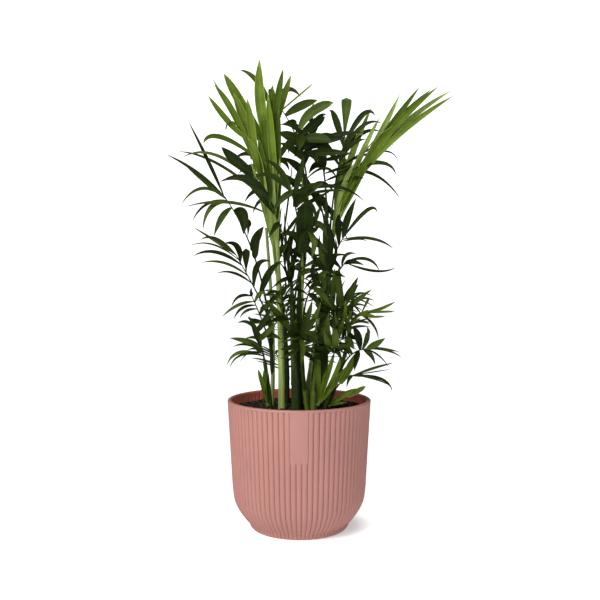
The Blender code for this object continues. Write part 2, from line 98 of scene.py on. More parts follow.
# Its ribs: their number and depth, the points across one in shares of its width, how their depth grows with
# the drop in millimetres from the lip's band, and the heights in millimetres where the outside and the
# inside have a row of points. The front panel has none of them.
RIBS = 80
RIB_DEPTH = 2.0 * MM
RIB_COLUMNS = (-0.5, -0.44, -0.34, -0.18, 0, 0.18, 0.34, 0.44)
RIB_START = [(0.5, 0.35), (1.0, 0.8), (1.6, 1)]
RIB_HEIGHTS_BESIDE_PANEL = (150, 130, 112)
RIB_HEIGHTS_BELOW_PANEL = (85, 70)
FOOT_RIB_SHARE = 0.8
FOOT_EDGE_RIB_SHARE = 0.4
INNER_RIB_DEPTH = 0.9 * MM
INNER_RIB_HEIGHTS = (100, 145, 150, 155, 159)
INNER_RIB_TOP = 161.5 * MM
PANEL_RIBS = 3
PANEL_SLACK = 0.01
PANEL_BOTTOM = 99 * MM
PANEL_EDGE = 2.5 * MM
PANEL_EDGE_STEPS = (1, 0.66, 0.33, 0)

# Soil. The width and height of its lumps, the crumbs' sizes and the fibres' steps are in millimetres.
SOIL_TOP = 154 * MM
SOIL_RADIUS = 85.5 * MM
SOIL_CROWN_RADIUS = 60 * MM
SOIL_EDGE_DROP = 2 * MM
SOIL_RINGS = 80
SOIL_COLUMNS = 200
SOIL_LUMPS = [(16, 1.5), (5, 1.1), (2.1, 0.5)]
CRUMBS = 2600
CRUMB_SIZES = (0.5, 0.7, 0.9, 1.3, 1.9)
CRUMB_SHADES = (0, 0, 0, 1, 1, 2)
CRUMB_LIFT = 0.25
CRUMB_MARGIN = 2.5 * MM
FIBRES = 260
FIBRE_SHADE = 3
FIBRE_POINTS = 4
FIBRE_SIDES = 4
FIBRE_RADIUS = 0.28 * MM
FIBRE_LIFT = 0.8 * MM
FIBRE_STEP = (1.5, 3.5)
FIBRE_STRIDE = 0.5
FIBRE_BEND = 0.5

# A clod: the twelve corners of a round lump of twenty faces
CLOD_SQUASH = (0.55, 1.1)
CLOD_LUMPS = (0.8, 1.15)
CLOD_NEAR = 0.53
CLOD_FAR = 0.85
CLOD = [
    Vector((0, near, far, 0, near)[turn:turn + 3])
    for turn in range(3) for far in (CLOD_FAR, -CLOD_FAR) for near in (-CLOD_NEAR, CLOD_NEAR)
]
CLOD_FACES = [
    (4, 11, 1), (4, 1, 5), (4, 5, 3), (4, 3, 10), (4, 10, 11), (5, 1, 9), (1, 11, 0), (11, 10, 6),
    (10, 3, 2), (3, 5, 8), (7, 9, 0), (7, 0, 6), (7, 6, 2), (7, 2, 8), (7, 8, 9), (0, 9, 1), (6, 0, 11),
    (2, 6, 10), (8, 2, 3), (9, 8, 5),
]

# Canes: the source's, four of them fitted more closely to the photograph. A row holds the foot on the soil,
# the top, the radius at each, how far the cane bows sideways, and its tint. Lengths are in millimetres.
Cane = namedtuple("Cane", "foot top radius top_radius bow tint")
CANES = {f"cane_{name}": Cane(*row) for name, row in {
    "left_thin": ((-35, 4), (-42, 0, 384), 2.8, 1.7, 4, "stalk"),
    "main_stalk": ((-22, -17), (-29, -13, 404), 4.3, 2.6, 1, "stalk"),
    "front_dark": ((-4, -25), (-9, -16, 300), 5.6, 2.8, 0, "sheath"),
    "front_light": ((10, -29), (5, -24, 262), 2.9, 2.0, -3, "young"),
    "front_broad": ((17, -24), (27, -20, 250), 5.4, 2.6, 0, "young"),
    "right_lean": ((33, -14), (64, -12, 258), 3.4, 2.0, 4, "young"),
    "left_shoot": ((-37, -12), (-43, -18, 212), 3.4, 1.9, 1, "sheath"),
    "centre": ((-1, -3), (10, 4, 412), 4.8, 2.8, -4, "sheath"),
    "right_tall": ((19, -2), (41, -1, 338), 3.9, 2.2, -4, "sheath"),
    "spear": ((9, 14), (35, 5, 394), 4.2, 2.9, 5, "stalk"),
    "back_left": ((-17, 21), (-30, 36, 346), 4.2, 2.4, 4, "sheath"),
    "back_right": ((28, 25), (40, 42, 330), 4.0, 2.3, -3, "sheath"),
    "back": ((2, 37), (3, 62, 268), 3.8, 2.2, -3, "sheath"),
}.items()}
CANE_SIDES = 22
CANE_STEP = 2.4 * MM
CANE_GAP = 0.3 * MM
CANE_SUNK = 3 * MM

# A cane's skin: one sheath after another from ring to ring, fluted, a little oval and turning
NODE_SPACING = 31 * MM
NODE_WOBBLE = (0.8, 1.25)
SHEATH_SWELL = 0.09
RING_SWELL = 0.07
RING_WIDTH = 0.03
CANE_SLIM = 0.98
CANE_TWIST = 0.02
FLUTES = 7
FLUTE_DEPTH = 0.035
OVAL_DEPTH = 0.05

# Fronds: the source's, some of them fitted more closely to the photograph. A row holds the cane that the
# frond grows on, where it leaves it (None at the cane's top), where its rib ends, how far it first rises,
# the share of the rib that is bare, the pairs of leaflets, their length and width, how far the first and
# last pair open from the rib, how far they are raised into a V, how far they droop, how far the whole blade
# is rolled about its rib, and its tint. Lengths are in millimetres and angles in degrees.
Frond = namedtuple("Frond", "cane leaves tip rise bare pairs blade width opens closes lift droop roll tint")
FRONDS = {f"frond_{name}": Frond(f"cane_{cane}", *row) for name, (cane, *row) in {
    "young_top": ("main_stalk", None, (-33, -18, 536), 60, 0.36, 5, 94, 11.5, 24, 7, 4, 5, 88, "young"),
    "young_left": ("main_stalk", 352, (-74, -26, 511), 84, 0.44, 7, 90, 10, 62, 10, 4, 26, 84, "young"),
    "behind_top": ("centre", None, (-26, 30, 545), 70, 0.46, 5, 58, 9, 84, 52, 10, 45, 70, "dark"),
    "left_high": ("left_thin", 256, (-98, -14, 428), 110, 0.42, 5, 84, 8.5, 72, 10, 8, 78, 84, "dark"),
    "left_mid": ("left_thin", 262, (-80, -34, 352), 30, 0.30, 6, 66, 7.5, 64, 26, 26, 44, 66, "dark"),
    "left_small": ("left_thin", 226, (-60, -28, 300), 30, 0.36, 5, 44, 5.5, 80, 44, 14, 62, 62, "dark"),
    "left_low": ("left_shoot", None, (-56, -28, 258), 20, 0.20, 4, 50, 8, 78, 40, 14, 48, 62, "dark"),
    "centre_wide": ("centre", 344, (-10, -74, 424), 52, 0.40, 5, 104, 13, 78, 36, 18, 46, 6, "dark"),
    "centre_left": ("front_dark", None, (-38, -56, 414), 70, 0.50, 4, 88, 13, 66, 26, 10, 36, 46, "mid"),
    "crown_front": ("centre", 392, (1, -38, 506), 78, 0.44, 6, 64, 12, 80, 36, 12, 50, -16, "dark"),
    "crown_back": ("spear", None, (18, 46, 510), 80, 0.40, 6, 66, 12, 78, 36, 12, 46, -14, "dark"),
    "crown_left": ("back_left", None, (-40, 58, 480), 82, 0.40, 6, 74, 10, 66, 26, 10, 44, 24, "dark"),
    "right_high": ("spear", 362, (58, -2, 494), 84, 0.26, 8, 80, 8, 84, 14, 10, 62, -74, "dark"),
    "spear": ("spear", 326, (122, -18, 512), 160, 0.34, 8, 108, 10, 24, 5, 62, 3, -6, "young"),
    "right_mid": ("right_tall", None, (56, -14, 372), 8, 0.46, 4, 60, 8, 72, 8, 6, 40, -80, "dark"),
    "right_arch": ("right_tall", 288, (60, -36, 342), 34, 0.40, 5, 60, 7, 66, 14, 10, 62, -38, "dark"),
    "right_small": ("right_lean", 226, (58, -34, 290), 30, 0.34, 5, 48, 8, 52, 12, 8, 22, -54, "mid"),
    "right_light": ("right_lean", None, (88, -20, 280), 16, 0.42, 4, 44, 6.5, 48, 8, 6, 34, -74, "young"),
    "right_low": ("right_lean", 196, (84, -50, 234), 34, 0.42, 5, 48, 8, 84, 22, 8, 44, -22, "dark"),
    "right_lowest": ("right_lean", 172, (76, -36, 202), 22, 0.50, 3, 56, 7, 62, 14, 6, 56, -34, "dark"),
    "front_top": ("front_dark", 276, (12, -66, 388), 54, 0.44, 5, 66, 13, 80, 34, 12, 56, -12, "dark"),
    "front_high": ("right_tall", 262, (34, -56, 330), 44, 0.44, 5, 56, 11, 76, 28, 12, 54, -16, "dark"),
    "front_mid": ("front_light", None, (22, -68, 318), 40, 0.42, 5, 54, 11, 78, 32, 12, 54, -12, "dark"),
    "front_left": ("front_dark", 232, (-24, -66, 304), 42, 0.42, 5, 54, 10, 78, 34, 12, 54, 20, "mid"),
    "front_right": ("front_broad", None, (54, -58, 284), 30, 0.38, 5, 54, 10, 78, 32, 12, 50, -20, "dark"),
    "front_low": ("front_light", 208, (0, -72, 252), 38, 0.44, 4, 52, 11, 78, 32, 10, 52, 8, "dark"),
    "front_base": ("front_broad", 196, (44, -66, 236), 30, 0.42, 5, 48, 10, 78, 28, 10, 46, -12, "dark"),
    "dense_right": ("spear", 236, (66, -8, 296), 40, 0.42, 5, 52, 10, 72, 28, 10, 46, -50, "dark"),
    "dense_low": ("right_tall", 204, (62, -44, 248), 34, 0.44, 5, 50, 10, 76, 30, 10, 46, -40, "dark"),
    "shoot_spikes": ("left_shoot", 158, (-48, -24, 180), 14, 0.50, 2, 30, 5, 16, 8, 4, 6, 60, "young"),
    "low_broad": ("front_broad", 160, (52, -32, 190), 14, 0.60, 1, 48, 10, 12, 12, 6, 10, -60, "young"),
    "low_right": ("right_lean", 158, (62, -26, 172), 6, 0.66, 1, 36, 8, 16, 16, 4, 22, -30, "young"),
    "back_high": ("spear", 374, (22, 108, 440), 44, 0.40, 6, 70, 10, 74, 26, 12, 56, 50, "dark"),
    "back_young": ("back_right", None, (60, 92, 468), 70, 0.60, 5, 50, 10, 46, 10, 6, 20, -66, "young"),
    "back_left": ("back_left", 300, (-34, 112, 404), 52, 0.40, 6, 66, 9, 72, 24, 12, 58, 80, "dark"),
    "back_centre": ("back", None, (4, 122, 366), 48, 0.38, 6, 62, 9, 72, 26, 12, 56, -72, "dark"),
    "back_right": ("back_right", 276, (34, 108, 352), 40, 0.40, 6, 54, 8.5, 70, 24, 12, 56, -60, "dark"),
    "back_low_left": ("back_left", 226, (-26, 92, 290), 34, 0.42, 5, 42, 8, 72, 28, 12, 52, 16, "mid"),
    "back_low": ("back", 212, (14, 112, 262), 32, 0.42, 5, 54, 8, 72, 28, 12, 50, 0, "dark"),
    "back_low_right": ("back_right", 206, (66, 78, 252), 30, 0.42, 5, 50, 8, 72, 28, 12, 50, -12, "dark"),
    "back_base": ("back_left", 176, (-32, 70, 216), 26, 0.46, 4, 46, 8, 70, 26, 10, 42, 10, "mid"),
}.items()}

# Leaflets that make the crown's outline, aimed one by one. After each look come the leaflets that have it:
# where on the rib they grow, in hundredths of its length, the point that their curve bends towards and their
# end as (across, up) in the plant's middle plane as the camera sees it, how far in front of that plane they
# end, their width, and how far they are turned from facing the front. Lengths are in millimetres and angles
# in degrees.
Aim = namedtuple("Aim", "share bends ends front width roll look")
AIMED = {f"frond_{name}": [Aim(share / 100, *row, look) for look, *rows in looks for share, *row in rows]
         for name, looks in {
    "young_top": [
        ("young", (50, (-72, 540), (-96, 580), 20, 13, 5), (58, (-54, 525), (-50, 598), 34, 14, 0),
         (72, (-40, 525), (-33, 566), 14, 10, 10), (80, (-30, 535), (-20, 586), 22, 9, 10),
         (78, (-24, 535), (-10, 578), 10, 9, 10)),
        ("mid", (96, (-52, 580), (-76, 584), -8, 8, 20), (96, (-18, 576), (3, 549), -10, 9, 10),
         (98, (-36, 575), (-37, 545), -14, 8, 30)),
        ("young", (92, (6, 556), (18, 567), 4, 3, 30), (5, (-42, 460), (-46, 530), 26, 10, 10),
         (10, (-26, 470), (-26, 540), 22, 9, 10), (20, (-34, 480), (-40, 556), 30, 10, 0)),
    ],
    "young_left": [
        ("young", (82, (-80, 530), (-108, 566), 30, 9, 10), (86, (-86, 530), (-111, 575), 10, 4, 35),
         (92, (-88, 512), (-116, 552), 36, 8, 10), (78, (-112, 514), (-122, 491), 44, 7, 20),
         (97, (-92, 530), (-93, 505), 34, 5, 50), (74, (-66, 515), (-84, 556), 20, 12, 10),
         (64, (-60, 500), (-66, 548), 34, 11, 10)),
        ("oval", (58, (-80, 466), (-99, 487), 18, 14, 5)),
        ("mid", (50, (-112, 500), (-152, 471), 24, 5, 20), (42, (-110, 480), (-156, 481), 4, 5, 35),
         (30, (-92, 426), (-148, 410), 30, 6, 40)),
        ("young", (50, (-48, 470), (-66, 500), 30, 10, 10)),
        ("pale", (2, (-38, 400), (-46, 462), 24, 6, 10), (0, (-32, 410), (-34, 470), 26, 6, 0),
         (0, (-25, 400), (-25, 474), 26, 5, 0)),
        ("young", (30, (-44, 450), (-52, 500), 28, 10, 10)),
        ("pale", (4, (-44, 410), (-62, 470), 22, 6, 10)),
    ],
    "left_high": [
        ("dark", (100, (-116, 470), (-141, 520), 24, 5.5, 30), (100, (-122, 478), (-140, 517), 14, 4.5, 40),
         (96, (-133, 461), (-171, 478), 10, 6, 35)),
        ("mid", (96, (-116, 436), (-146, 464), 26, 5, 40), (97, (-128, 449), (-152, 411), 34, 7, 40)),
        ("dark", (95, (-124, 420), (-137, 391), 6, 5, 30)),
        ("mid", (93, (-118, 419), (-123, 380), 36, 8, 25), (88, (-100, 402), (-109, 373), 20, 9, 20)),
        ("oval", (84, (-66, 410), (-71, 375), 44, 15, 0)), ("dark", (74, (-60, 400), (-66, 372), 10, 9, 40)),
        ("oval", (52, (-58, 368), (-45, 386), 20, 12, 0)), ("dark", (46, (-58, 354), (-49, 374), 24, 9, 0)),
    ],
    "left_mid": [
        ("mid", (100, (-106, 366), (-137, 386), 34, 5, 35)),
        ("dark", (100, (-110, 381), (-127, 368), 50, 5, 30)),
        ("mid", (94, (-113, 374), (-142, 360), 26, 4, 50)),
        ("dark", (88, (-110, 364), (-137, 347), 44, 6, 35)),
        ("mid", (76, (-97, 347), (-127, 339), 32, 5.5, 45)),
        ("dark", (66, (-87, 334), (-107, 325), 40, 5, 45), (92, (-74, 370), (-97, 364), 56, 8, 10)),
        ("dark_paddle", (80, (-68, 340), (-68, 358), 44, 10, 0)),
        ("dark", (62, (-57, 348), (-36, 341), 40, 9, 15), (46, (-40, 336), (-20, 342), 46, 10, 10),
         (30, (-24, 302), (1, 321), 48, 7, 15)),
    ],
    "left_small": [
        ("dark", (100, (-80, 302), (-87, 282), 40, 5, 30)), ("mid", (92, (-80, 289), (-99, 270), 30, 5, 30)),
        ("dark", (86, (-77, 286), (-84, 266), 44, 5, 30)), ("mid", (80, (-70, 280), (-76, 268), 24, 5, 40)),
        ("dark", (100, (-62, 300), (-61, 308), 30, 5, 20)), ("mid", (90, (-50, 308), (-40, 296), 44, 6, 20)),
        ("dark", (70, (-44, 292), (-30, 278), 50, 7, 20)), ("mid", (60, (-60, 262), (-66, 270), 34, 7, 20)),
    ],
    "left_low": [
        ("mid", (50, (-64, 240), (-90, 243), 34, 8, 20)),
        ("dark", (42, (-70, 240), (-86, 231), 24, 4, 30), (70, (-56, 246), (-70, 242), 36, 5, 40)),
        ("mid", (24, (-84, 234), (-93, 207), 30, 6, 35)),
        ("dark", (24, (-80, 230), (-90, 203), 44, 4, 40), (30, (-66, 230), (-77, 210), 40, 4, 50),
         (36, (-56, 232), (-67, 227), 20, 4, 40), (55, (-54, 250), (-65, 272), 34, 9, 10),
         (96, (-40, 268), (-30, 256), 40, 8, 20), (80, (-34, 250), (-22, 240), 48, 8, 20),
         (90, (-44, 264), (-34, 286), 44, 8, 10)),
        ("mid", (70, (-42, 248), (-28, 264), 50, 8, 10), (40, (-54, 226), (-62, 238), 36, 6, 20)),
        ("dark", (100, (-66, 268), (-80, 262), 30, 5, 20)),
    ],
    "centre_left": [
        ("dark", (90, (-58, 464), (-102, 442), 44, 12, 10)),
        ("oval", (86, (-42, 424), (-65, 439), 50, 11, 0)), ("dark", (98, (-36, 446), (-47, 470), 56, 8, 20)),
        ("mid", (90, (-10, 440), (14, 424), 50, 10, 20)),
        ("dark", (74, (-26, 392), (-40, 370), 60, 9, 20), (60, (-6, 384), (0, 352), 56, 8, 20),
         (50, (-14, 366), (-21, 350), 50, 6, 30)),
        ("stem", (80, (-24, 436), (-22, 462), 40, 4, 0), (60, (-13, 420), (-8, 472), 36, 2.5, 0),
         (0, (-17, 350), (-19, 408), 30, 3.5, 0), (20, (-6, 350), (-16, 396), 40, 3, 0)),
        ("dark", (30, (-18, 366), (-5, 386), 44, 5, 20), (24, (-18, 346), (-8, 366), 40, 5, 20),
         (36, (-4, 362), (4, 346), 50, 5, 20)),
        ("mid", (16, (-6, 340), (6, 332), 44, 5, 20)),
        ("dark", (10, (-16, 318), (-21, 352), 34, 4, 10), (12, (-4, 326), (-13, 372), 44, 4, 10),
         (20, (2, 356), (-4, 400), 50, 4.5, 10), (28, (6, 372), (12, 402), 54, 4.5, 10),
         (40, (4, 366), (16, 352), 54, 5, 20), (32, (-10, 372), (-2, 398), 48, 4, 10),
         (14, (-18, 322), (-36, 306), 44, 6, 20)),
    ],
    "centre_wide": [
        ("oval", (75, (0, 432), (31, 441), 70, 15, 0)),
        ("dark", (86, (24, 424), (22, 384), 134, 6, 0), (95, (50, 452), (85, 416), 60, 6, 30),
         (85, (30, 436), (62, 430), 66, 5, 30), (70, (20, 420), (42, 432), 70, 6, 20),
         (100, (-24, 467), (-47, 471), 84, 8, 20), (90, (4, 452), (6, 476), 70, 8, 20),
         (60, (-10, 384), (-21, 374), 60, 5, 20), (100, (-40, 462), (-58, 446), 92, 8, 20)),
    ],
    "crown_front": [
        ("light_blade", (100, (8, 532), (44, 543), 46, 13, 0)),
        ("dark", (92, (-4, 518), (-24, 515), 40, 9, 10)),
        ("oval", (80, (-8, 500), (-27, 505), 44, 13, 0), (92, (22, 516), (33, 525), 30, 13, 0)),
        ("dark", (66, (40, 506), (84, 505), 40, 11, 20), (72, (38, 498), (62, 498), 46, 10, 10),
         (66, (38, 482), (68, 478), 50, 10, 0)),
        ("oval", (85, (26, 500), (42, 492), 48, 14, 10), (60, (-4, 482), (-25, 492), 40, 11, 10)),
        ("dark", (46, (-6, 466), (-23, 474), 50, 10, 10)),
        ("oval", (70, (2, 488), (-6, 474), 50, 11, 10), (60, (16, 486), (24, 466), 40, 11, 10),
         (90, (2, 500), (0, 482), 60, 12, 0)),
        ("dark", (30, (-12, 446), (-24, 456), 30, 6, 20), (20, (-6, 438), (-16, 446), 20, 5, 20)),
    ],
    "crown_back": [
        ("dark", (100, (10, 472), (-12, 430), 10, 9, 10), (95, (36, 476), (31, 449), 20, 10, 10),
         (100, (22, 528), (35, 528), -10, 10, 10)),
        ("oval", (90, (32, 502), (48, 494), 6, 15, 10), (80, (8, 490), (-10, 482), 0, 12, 10)),
        ("dark", (100, (12, 522), (19, 544), -30, 7, 20)), ("oval", (70, (24, 462), (20, 466), 20, 12, 10)),
        ("dark", (60, (50, 472), (67, 480), 0, 7, 20), (44, (54, 460), (68, 464), 10, 5, 30),
         (36, (48, 450), (62, 454), 16, 4, 30), (30, (44, 436), (58, 446), 16, 4, 30)),
        ("oval", (95, (4, 500), (-4, 512), -20, 10, 10)), ("dark", (50, (20, 470), (12, 452), 10, 10, 10)),
    ],
    "crown_left": [
        ("dark", (100, (-44, 500), (-52, 522), -60, 9, 20), (90, (-20, 482), (-12, 455), -50, 9, 10),
         (80, (-60, 472), (-78, 452), -60, 9, 20), (70, (-14, 452), (0, 430), -40, 7, 20),
         (60, (-56, 440), (-70, 416), -50, 8, 20), (50, (-50, 430), (-60, 400), -50, 7, 20),
         (95, (-66, 488), (-84, 470), -70, 8, 20), (85, (-10, 500), (4, 512), -60, 9, 20)),
    ],
    "behind_top": [
        ("light_oval", (92, (0, 540), (24, 546), -10, 12, 0)),
        ("dark", (80, (-2, 520), (-18, 518), -20, 9, 20), (98, (-34, 552), (-44, 544), -24, 7, 20)),
        ("oval", (70, (10, 500), (14, 478), -20, 11, 10)),
        ("dark", (60, (-10, 498), (-14, 478), -10, 9, 10)),
    ],
    "front_top": [
        ("dark", (90, (22, 394), (28, 414), 60, 7, 0)), ("round", (70, (8, 384), (8, 418), 80, 22, 0)),
        ("dark", (80, (-6, 384), (-21, 374), 70, 6, 20)), ("mid", (95, (26, 366), (15, 344), 90, 8, 10)),
        ("dark", (100, (32, 394), (35, 372), 80, 9, 0), (90, (24, 364), (37, 352), 86, 10, 0),
         (80, (16, 352), (27, 338), 80, 8, 0), (60, (-6, 346), (-14, 330), 60, 5, 20),
         (50, (34, 354), (67, 349), 50, 6, 20), (44, (14, 334), (26, 325), 56, 8, 10),
         (95, (-2, 376), (0, 352), 90, 8, 10), (98, (18, 376), (26, 388), 96, 9, 0)),
    ],
    "front_high": [
        ("dark", (100, (32, 374), (33, 403), 54, 7, 10), (100, (46, 362), (34, 399), 60, 7, 0)),
        ("mid", (95, (24, 352), (26, 376), 70, 6, 10)),
        ("dark", (90, (52, 346), (46, 372), 44, 5, 10), (80, (16, 328), (7, 318), 60, 7, 10),
         (72, (44, 330), (60, 320), 50, 4, 30)),
        ("mid", (62, (20, 320), (12, 302), 60, 7, 10)),
        ("dark", (50, (46, 308), (44, 290), 46, 7, 10), (100, (20, 340), (14, 356), 84, 8, 10),
         (90, (40, 312), (36, 296), 70, 9, 0)),
    ],
    "front_mid": [
        ("dark", (100, (36, 324), (31, 298), 84, 8, 0), (90, (14, 334), (22, 342), 76, 6, 10)),
        ("mid", (80, (30, 302), (41, 284), 80, 8, 0)),
        ("dark", (60, (22, 298), (27, 278), 70, 8, 10), (50, (-2, 292), (-9, 272), 60, 4, 20)),
        ("pale", (0, (3, 350), (4, 454), 30, 3, 0)), ("mid", (95, (30, 332), (40, 326), 90, 5, 10)),
    ],
    "front_left": [
        ("mid", (30, (-26, 272), (-43, 293), 60, 10, 10)),
        ("dark", (60, (-12, 290), (-8, 276), 70, 5, 20), (74, (-28, 290), (-21, 276), 74, 4, 30),
         (92, (-14, 304), (-19, 322), 60, 4, 20), (100, (-36, 306), (-46, 294), 70, 5, 30),
         (84, (-12, 302), (-4, 294), 76, 5, 20)),
        ("mid", (20, (-2, 256), (6, 240), 60, 8, 10)), ("dark", (50, (-28, 270), (-38, 262), 70, 8, 10)),
    ],
    "front_right": [
        ("mid", (70, (43, 304), (46, 334), 50, 8, 0), (64, (50, 272), (63, 262), 50, 5, 10),
         (50, (22, 276), (13, 262), 60, 8, 10)),
        ("dark", (40, (28, 284), (24, 298), 40, 7, 10)),
        ("mid", (60, (34, 260), (29, 244), 66, 8, 10), (90, (60, 292), (68, 288), 40, 4, 30)),
        ("dark", (100, (70, 288), (82, 277), 40, 3, 40), (95, (64, 272), (72, 262), 50, 3, 30),
         (84, (44, 266), (46, 252), 76, 7, 10)),
        ("mid", (56, (38, 286), (34, 302), 40, 7, 10)),
    ],
    "front_low": [
        ("dark", (100, (-10, 254), (-20, 242), 96, 11, 0)),
        ("mid", (90, (-14, 239), (-27, 237), 90, 3, 20), (80, (9, 262), (16, 286), 70, 7, 0),
         (70, (12, 250), (25, 252), 80, 9, 0)),
        ("dark", (60, (-12, 230), (-25, 228), 80, 6, 10)), ("mid", (50, (-8, 222), (-25, 216), 70, 5, 10)),
        ("dark", (40, (12, 232), (22, 222), 70, 8, 10), (30, (14, 224), (20, 210), 60, 7, 10)),
        ("mid", (95, (8, 228), (3, 210), 100, 7, 10)),
        ("dark", (100, (12, 258), (22, 270), 90, 9, 0), (85, (-6, 258), (-12, 268), 80, 6, 10),
         (98, (18, 240), (30, 236), 104, 7, 10)),
        ("mid", (80, (14, 272), (17, 292), 84, 8, 10)), ("dark", (60, (0, 276), (-2, 300), 70, 6, 10)),
        ("mid", (70, (22, 268), (28, 290), 90, 7, 10), (50, (28, 246), (38, 262), 84, 8, 10)),
    ],
    "front_base": [
        ("mid", (100, (48, 244), (44, 260), 70, 10, 0)),
        ("dark", (90, (30, 244), (20, 250), 80, 8, 0), (80, (26, 232), (13, 230), 84, 7, 10),
         (70, (24, 220), (12, 214), 80, 7, 10), (60, (34, 206), (29, 192), 70, 6, 10)),
        ("mid", (50, (28, 212), (37, 200), 60, 6, 10)),
        ("dark", (92, (54, 222), (56, 208), 70, 4, 20), (96, (58, 236), (66, 230), 80, 5, 20)),
        ("mid", (84, (36, 238), (32, 252), 90, 8, 0), (70, (36, 254), (38, 276), 80, 8, 10)),
        ("dark", (50, (26, 244), (22, 262), 80, 7, 10)), ("mid", (90, (54, 254), (58, 270), 70, 7, 10)),
    ],
    "dense_right": [
        ("mid", (100, (76, 306), (96, 296), 0, 3, 30)), ("dark", (90, (76, 298), (99, 281), 0, 3, 40)),
        ("mid", (84, (68, 296), (86, 302), 10, 3, 30), (70, (52, 306), (60, 319), 0, 3, 40),
         (60, (60, 284), (77, 271), 0, 4, 30)),
        ("dark", (60, (36, 292), (26, 302), 0, 7, 10)), ("mid", (50, (50, 268), (60, 254), 0, 5, 20)),
        ("dark", (50, (30, 278), (20, 286), 10, 7, 10)),
        ("mid", (40, (44, 262), (48, 246), 0, 6, 10), (95, (72, 284), (84, 268), 6, 3, 30),
         (76, (60, 276), (70, 262), 14, 3, 20)),
    ],
    "dense_low": [
        ("mid", (100, (66, 254), (64, 266), 50, 6, 10)), ("dark", (100, (74, 246), (79, 236), 50, 6, 10)),
        ("mid", (95, (66, 238), (71, 228), 54, 10, 0)), ("dark", (70, (36, 242), (27, 238), 40, 9, 0)),
        ("mid", (60, (36, 250), (31, 264), 30, 8, 10)),
        ("dark", (50, (28, 238), (17, 241), 30, 7, 10), (60, (52, 226), (55, 212), 30, 5, 20)),
        ("mid", (80, (60, 230), (66, 218), 40, 4, 20)), ("dark", (40, (26, 224), (16, 232), 36, 7, 10)),
    ],
    "spear": [
        ("light", (16, (50, 450), (93, 539), -4, 9, 0), (19, (64, 452), (104, 527), 8, 8, 10),
         (23, (78, 452), (129, 555), 10, 10, 0)),
        ("young", (27, (86, 476), (154, 564), 14, 10, 0), (30, (90, 494), (168, 560), 6, 9, 10),
         (32, (96, 500), (178, 564), 18, 9, 0)),
        ("light", (34, (103, 506), (195, 559), 12, 8, 10)),
        ("young", (36, (107, 500), (197, 552), 22, 8, 0)), ("light", (24, (50, 430), (70, 466), 12, 7, 0)),
        ("young", (28, (60, 434), (84, 470), 18, 7, 0), (30, (68, 444), (96, 482), 24, 8, 0)),
    ],
    "right_high": [
        ("paddle", (98, (60, 530), (60, 549), 6, 14, 0)),
        ("dark", (95, (86, 548), (97, 525), 0, 8, 15), (90, (84, 528), (106, 516), 14, 6, 20),
         (86, (82, 515), (104, 506), -10, 7, 20), (96, (44, 536), (38, 532), 16, 10, 10),
         (78, (60, 492), (86, 497), 20, 10, 20), (74, (30, 500), (2, 512), 16, 10, 15),
         (66, (100, 466), (131, 418), -8, 6, 35), (64, (116, 482), (124, 450), 20, 8, 25),
         (72, (122, 498), (126, 466), -20, 4, 30), (70, (110, 500), (122, 488), 0, 4, 30),
         (60, (34, 474), (4, 440), 26, 5, 30), (52, (70, 452), (84, 446), 24, 6, 30),
         (46, (28, 452), (8, 430), 20, 6, 30)),
    ],
    "right_mid": [
        ("dark", (100, (60, 398), (73, 422), 12, 10, 0), (100, (96, 426), (100, 402), 4, 6, 10),
         (96, (100, 376), (122, 356), 20, 6, 45), (90, (80, 372), (88, 366), -6, 4, 50),
         (80, (48, 396), (52, 402), 24, 9, 10), (62, (36, 384), (32, 402), 10, 8, 15)),
    ],
    "right_arch": [
        ("dark", (100, (94, 352), (103, 328), 36, 6, 40), (96, (102, 320), (125, 334), 24, 5, 45),
         (92, (66, 344), (84, 336), 50, 7, 20), (84, (58, 356), (74, 350), 30, 6, 35),
         (72, (44, 326), (60, 321), 44, 7, 20)),
        ("mid", (60, (26, 344), (16, 330), 50, 8, 20)), ("dark", (80, (34, 352), (22, 362), 40, 8, 20)),
    ],
    "right_small": [
        ("mid", (70, (46, 312), (52, 336), 34, 10, 0), (96, (66, 304), (76, 322), 30, 8, 10),
         (90, (76, 292), (94, 306), 40, 7, 20), (86, (76, 302), (98, 290), 14, 5, 40),
         (80, (68, 292), (90, 282), 40, 5, 40), (66, (36, 296), (28, 284), 50, 8, 20)),
    ],
    "right_light": [
        ("young", (70, (100, 276), (124, 290), 30, 4.5, 10), (80, (104, 276), (123, 277), 14, 3.5, 20),
         (65, (92, 268), (111, 271), 34, 3.5, 20), (10, (62, 262), (80, 269), 92, 4, 20),
         (10, (58, 256), (68, 278), 98, 4.5, 20), (20, (70, 270), (92, 279), 84, 3.5, 20),
         (0, (50, 250), (58, 264), 104, 4.5, 20), (45, (84, 276), (98, 271), 60, 3, 20),
         (5, (56, 262), (60, 292), 98, 5, 20)),
        ("mid", (0, (46, 250), (46, 278), 104, 5, 20), (30, (66, 284), (70, 302), 60, 5, 20),
         (80, (92, 300), (88, 288), 20, 4, 30), (60, (66, 276), (56, 268), 34, 6, 30)),
        ("dark", (70, (100, 262), (102, 240), 20, 4, 30)),
    ],
    "right_low": [
        ("mid", (100, (98, 233), (111, 243), 54, 9, 10), (98, (106, 230), (129, 225), 40, 5, 45)),
        ("dark", (96, (114, 231), (133, 217), 60, 4, 45), (96, (104, 224), (116, 204), 50, 3, 40),
         (92, (93, 224), (98, 208), 56, 7, 15)),
        ("mid", (90, (92, 246), (87, 258), 44, 7, 20)),
        ("dark", (84, (76, 252), (68, 258), 56, 10, 10), (80, (74, 218), (71, 200), 60, 8, 20)),
        ("mid", (60, (56, 240), (48, 222), 58, 9, 20)),
    ],
    "right_lowest": [
        ("mid", (84, (100, 206), (122, 211), 40, 4, 30)),
        ("dark", (90, (104, 200), (119, 203), 34, 2, 40), (84, (118, 196), (120, 172), 30, 4, 20),
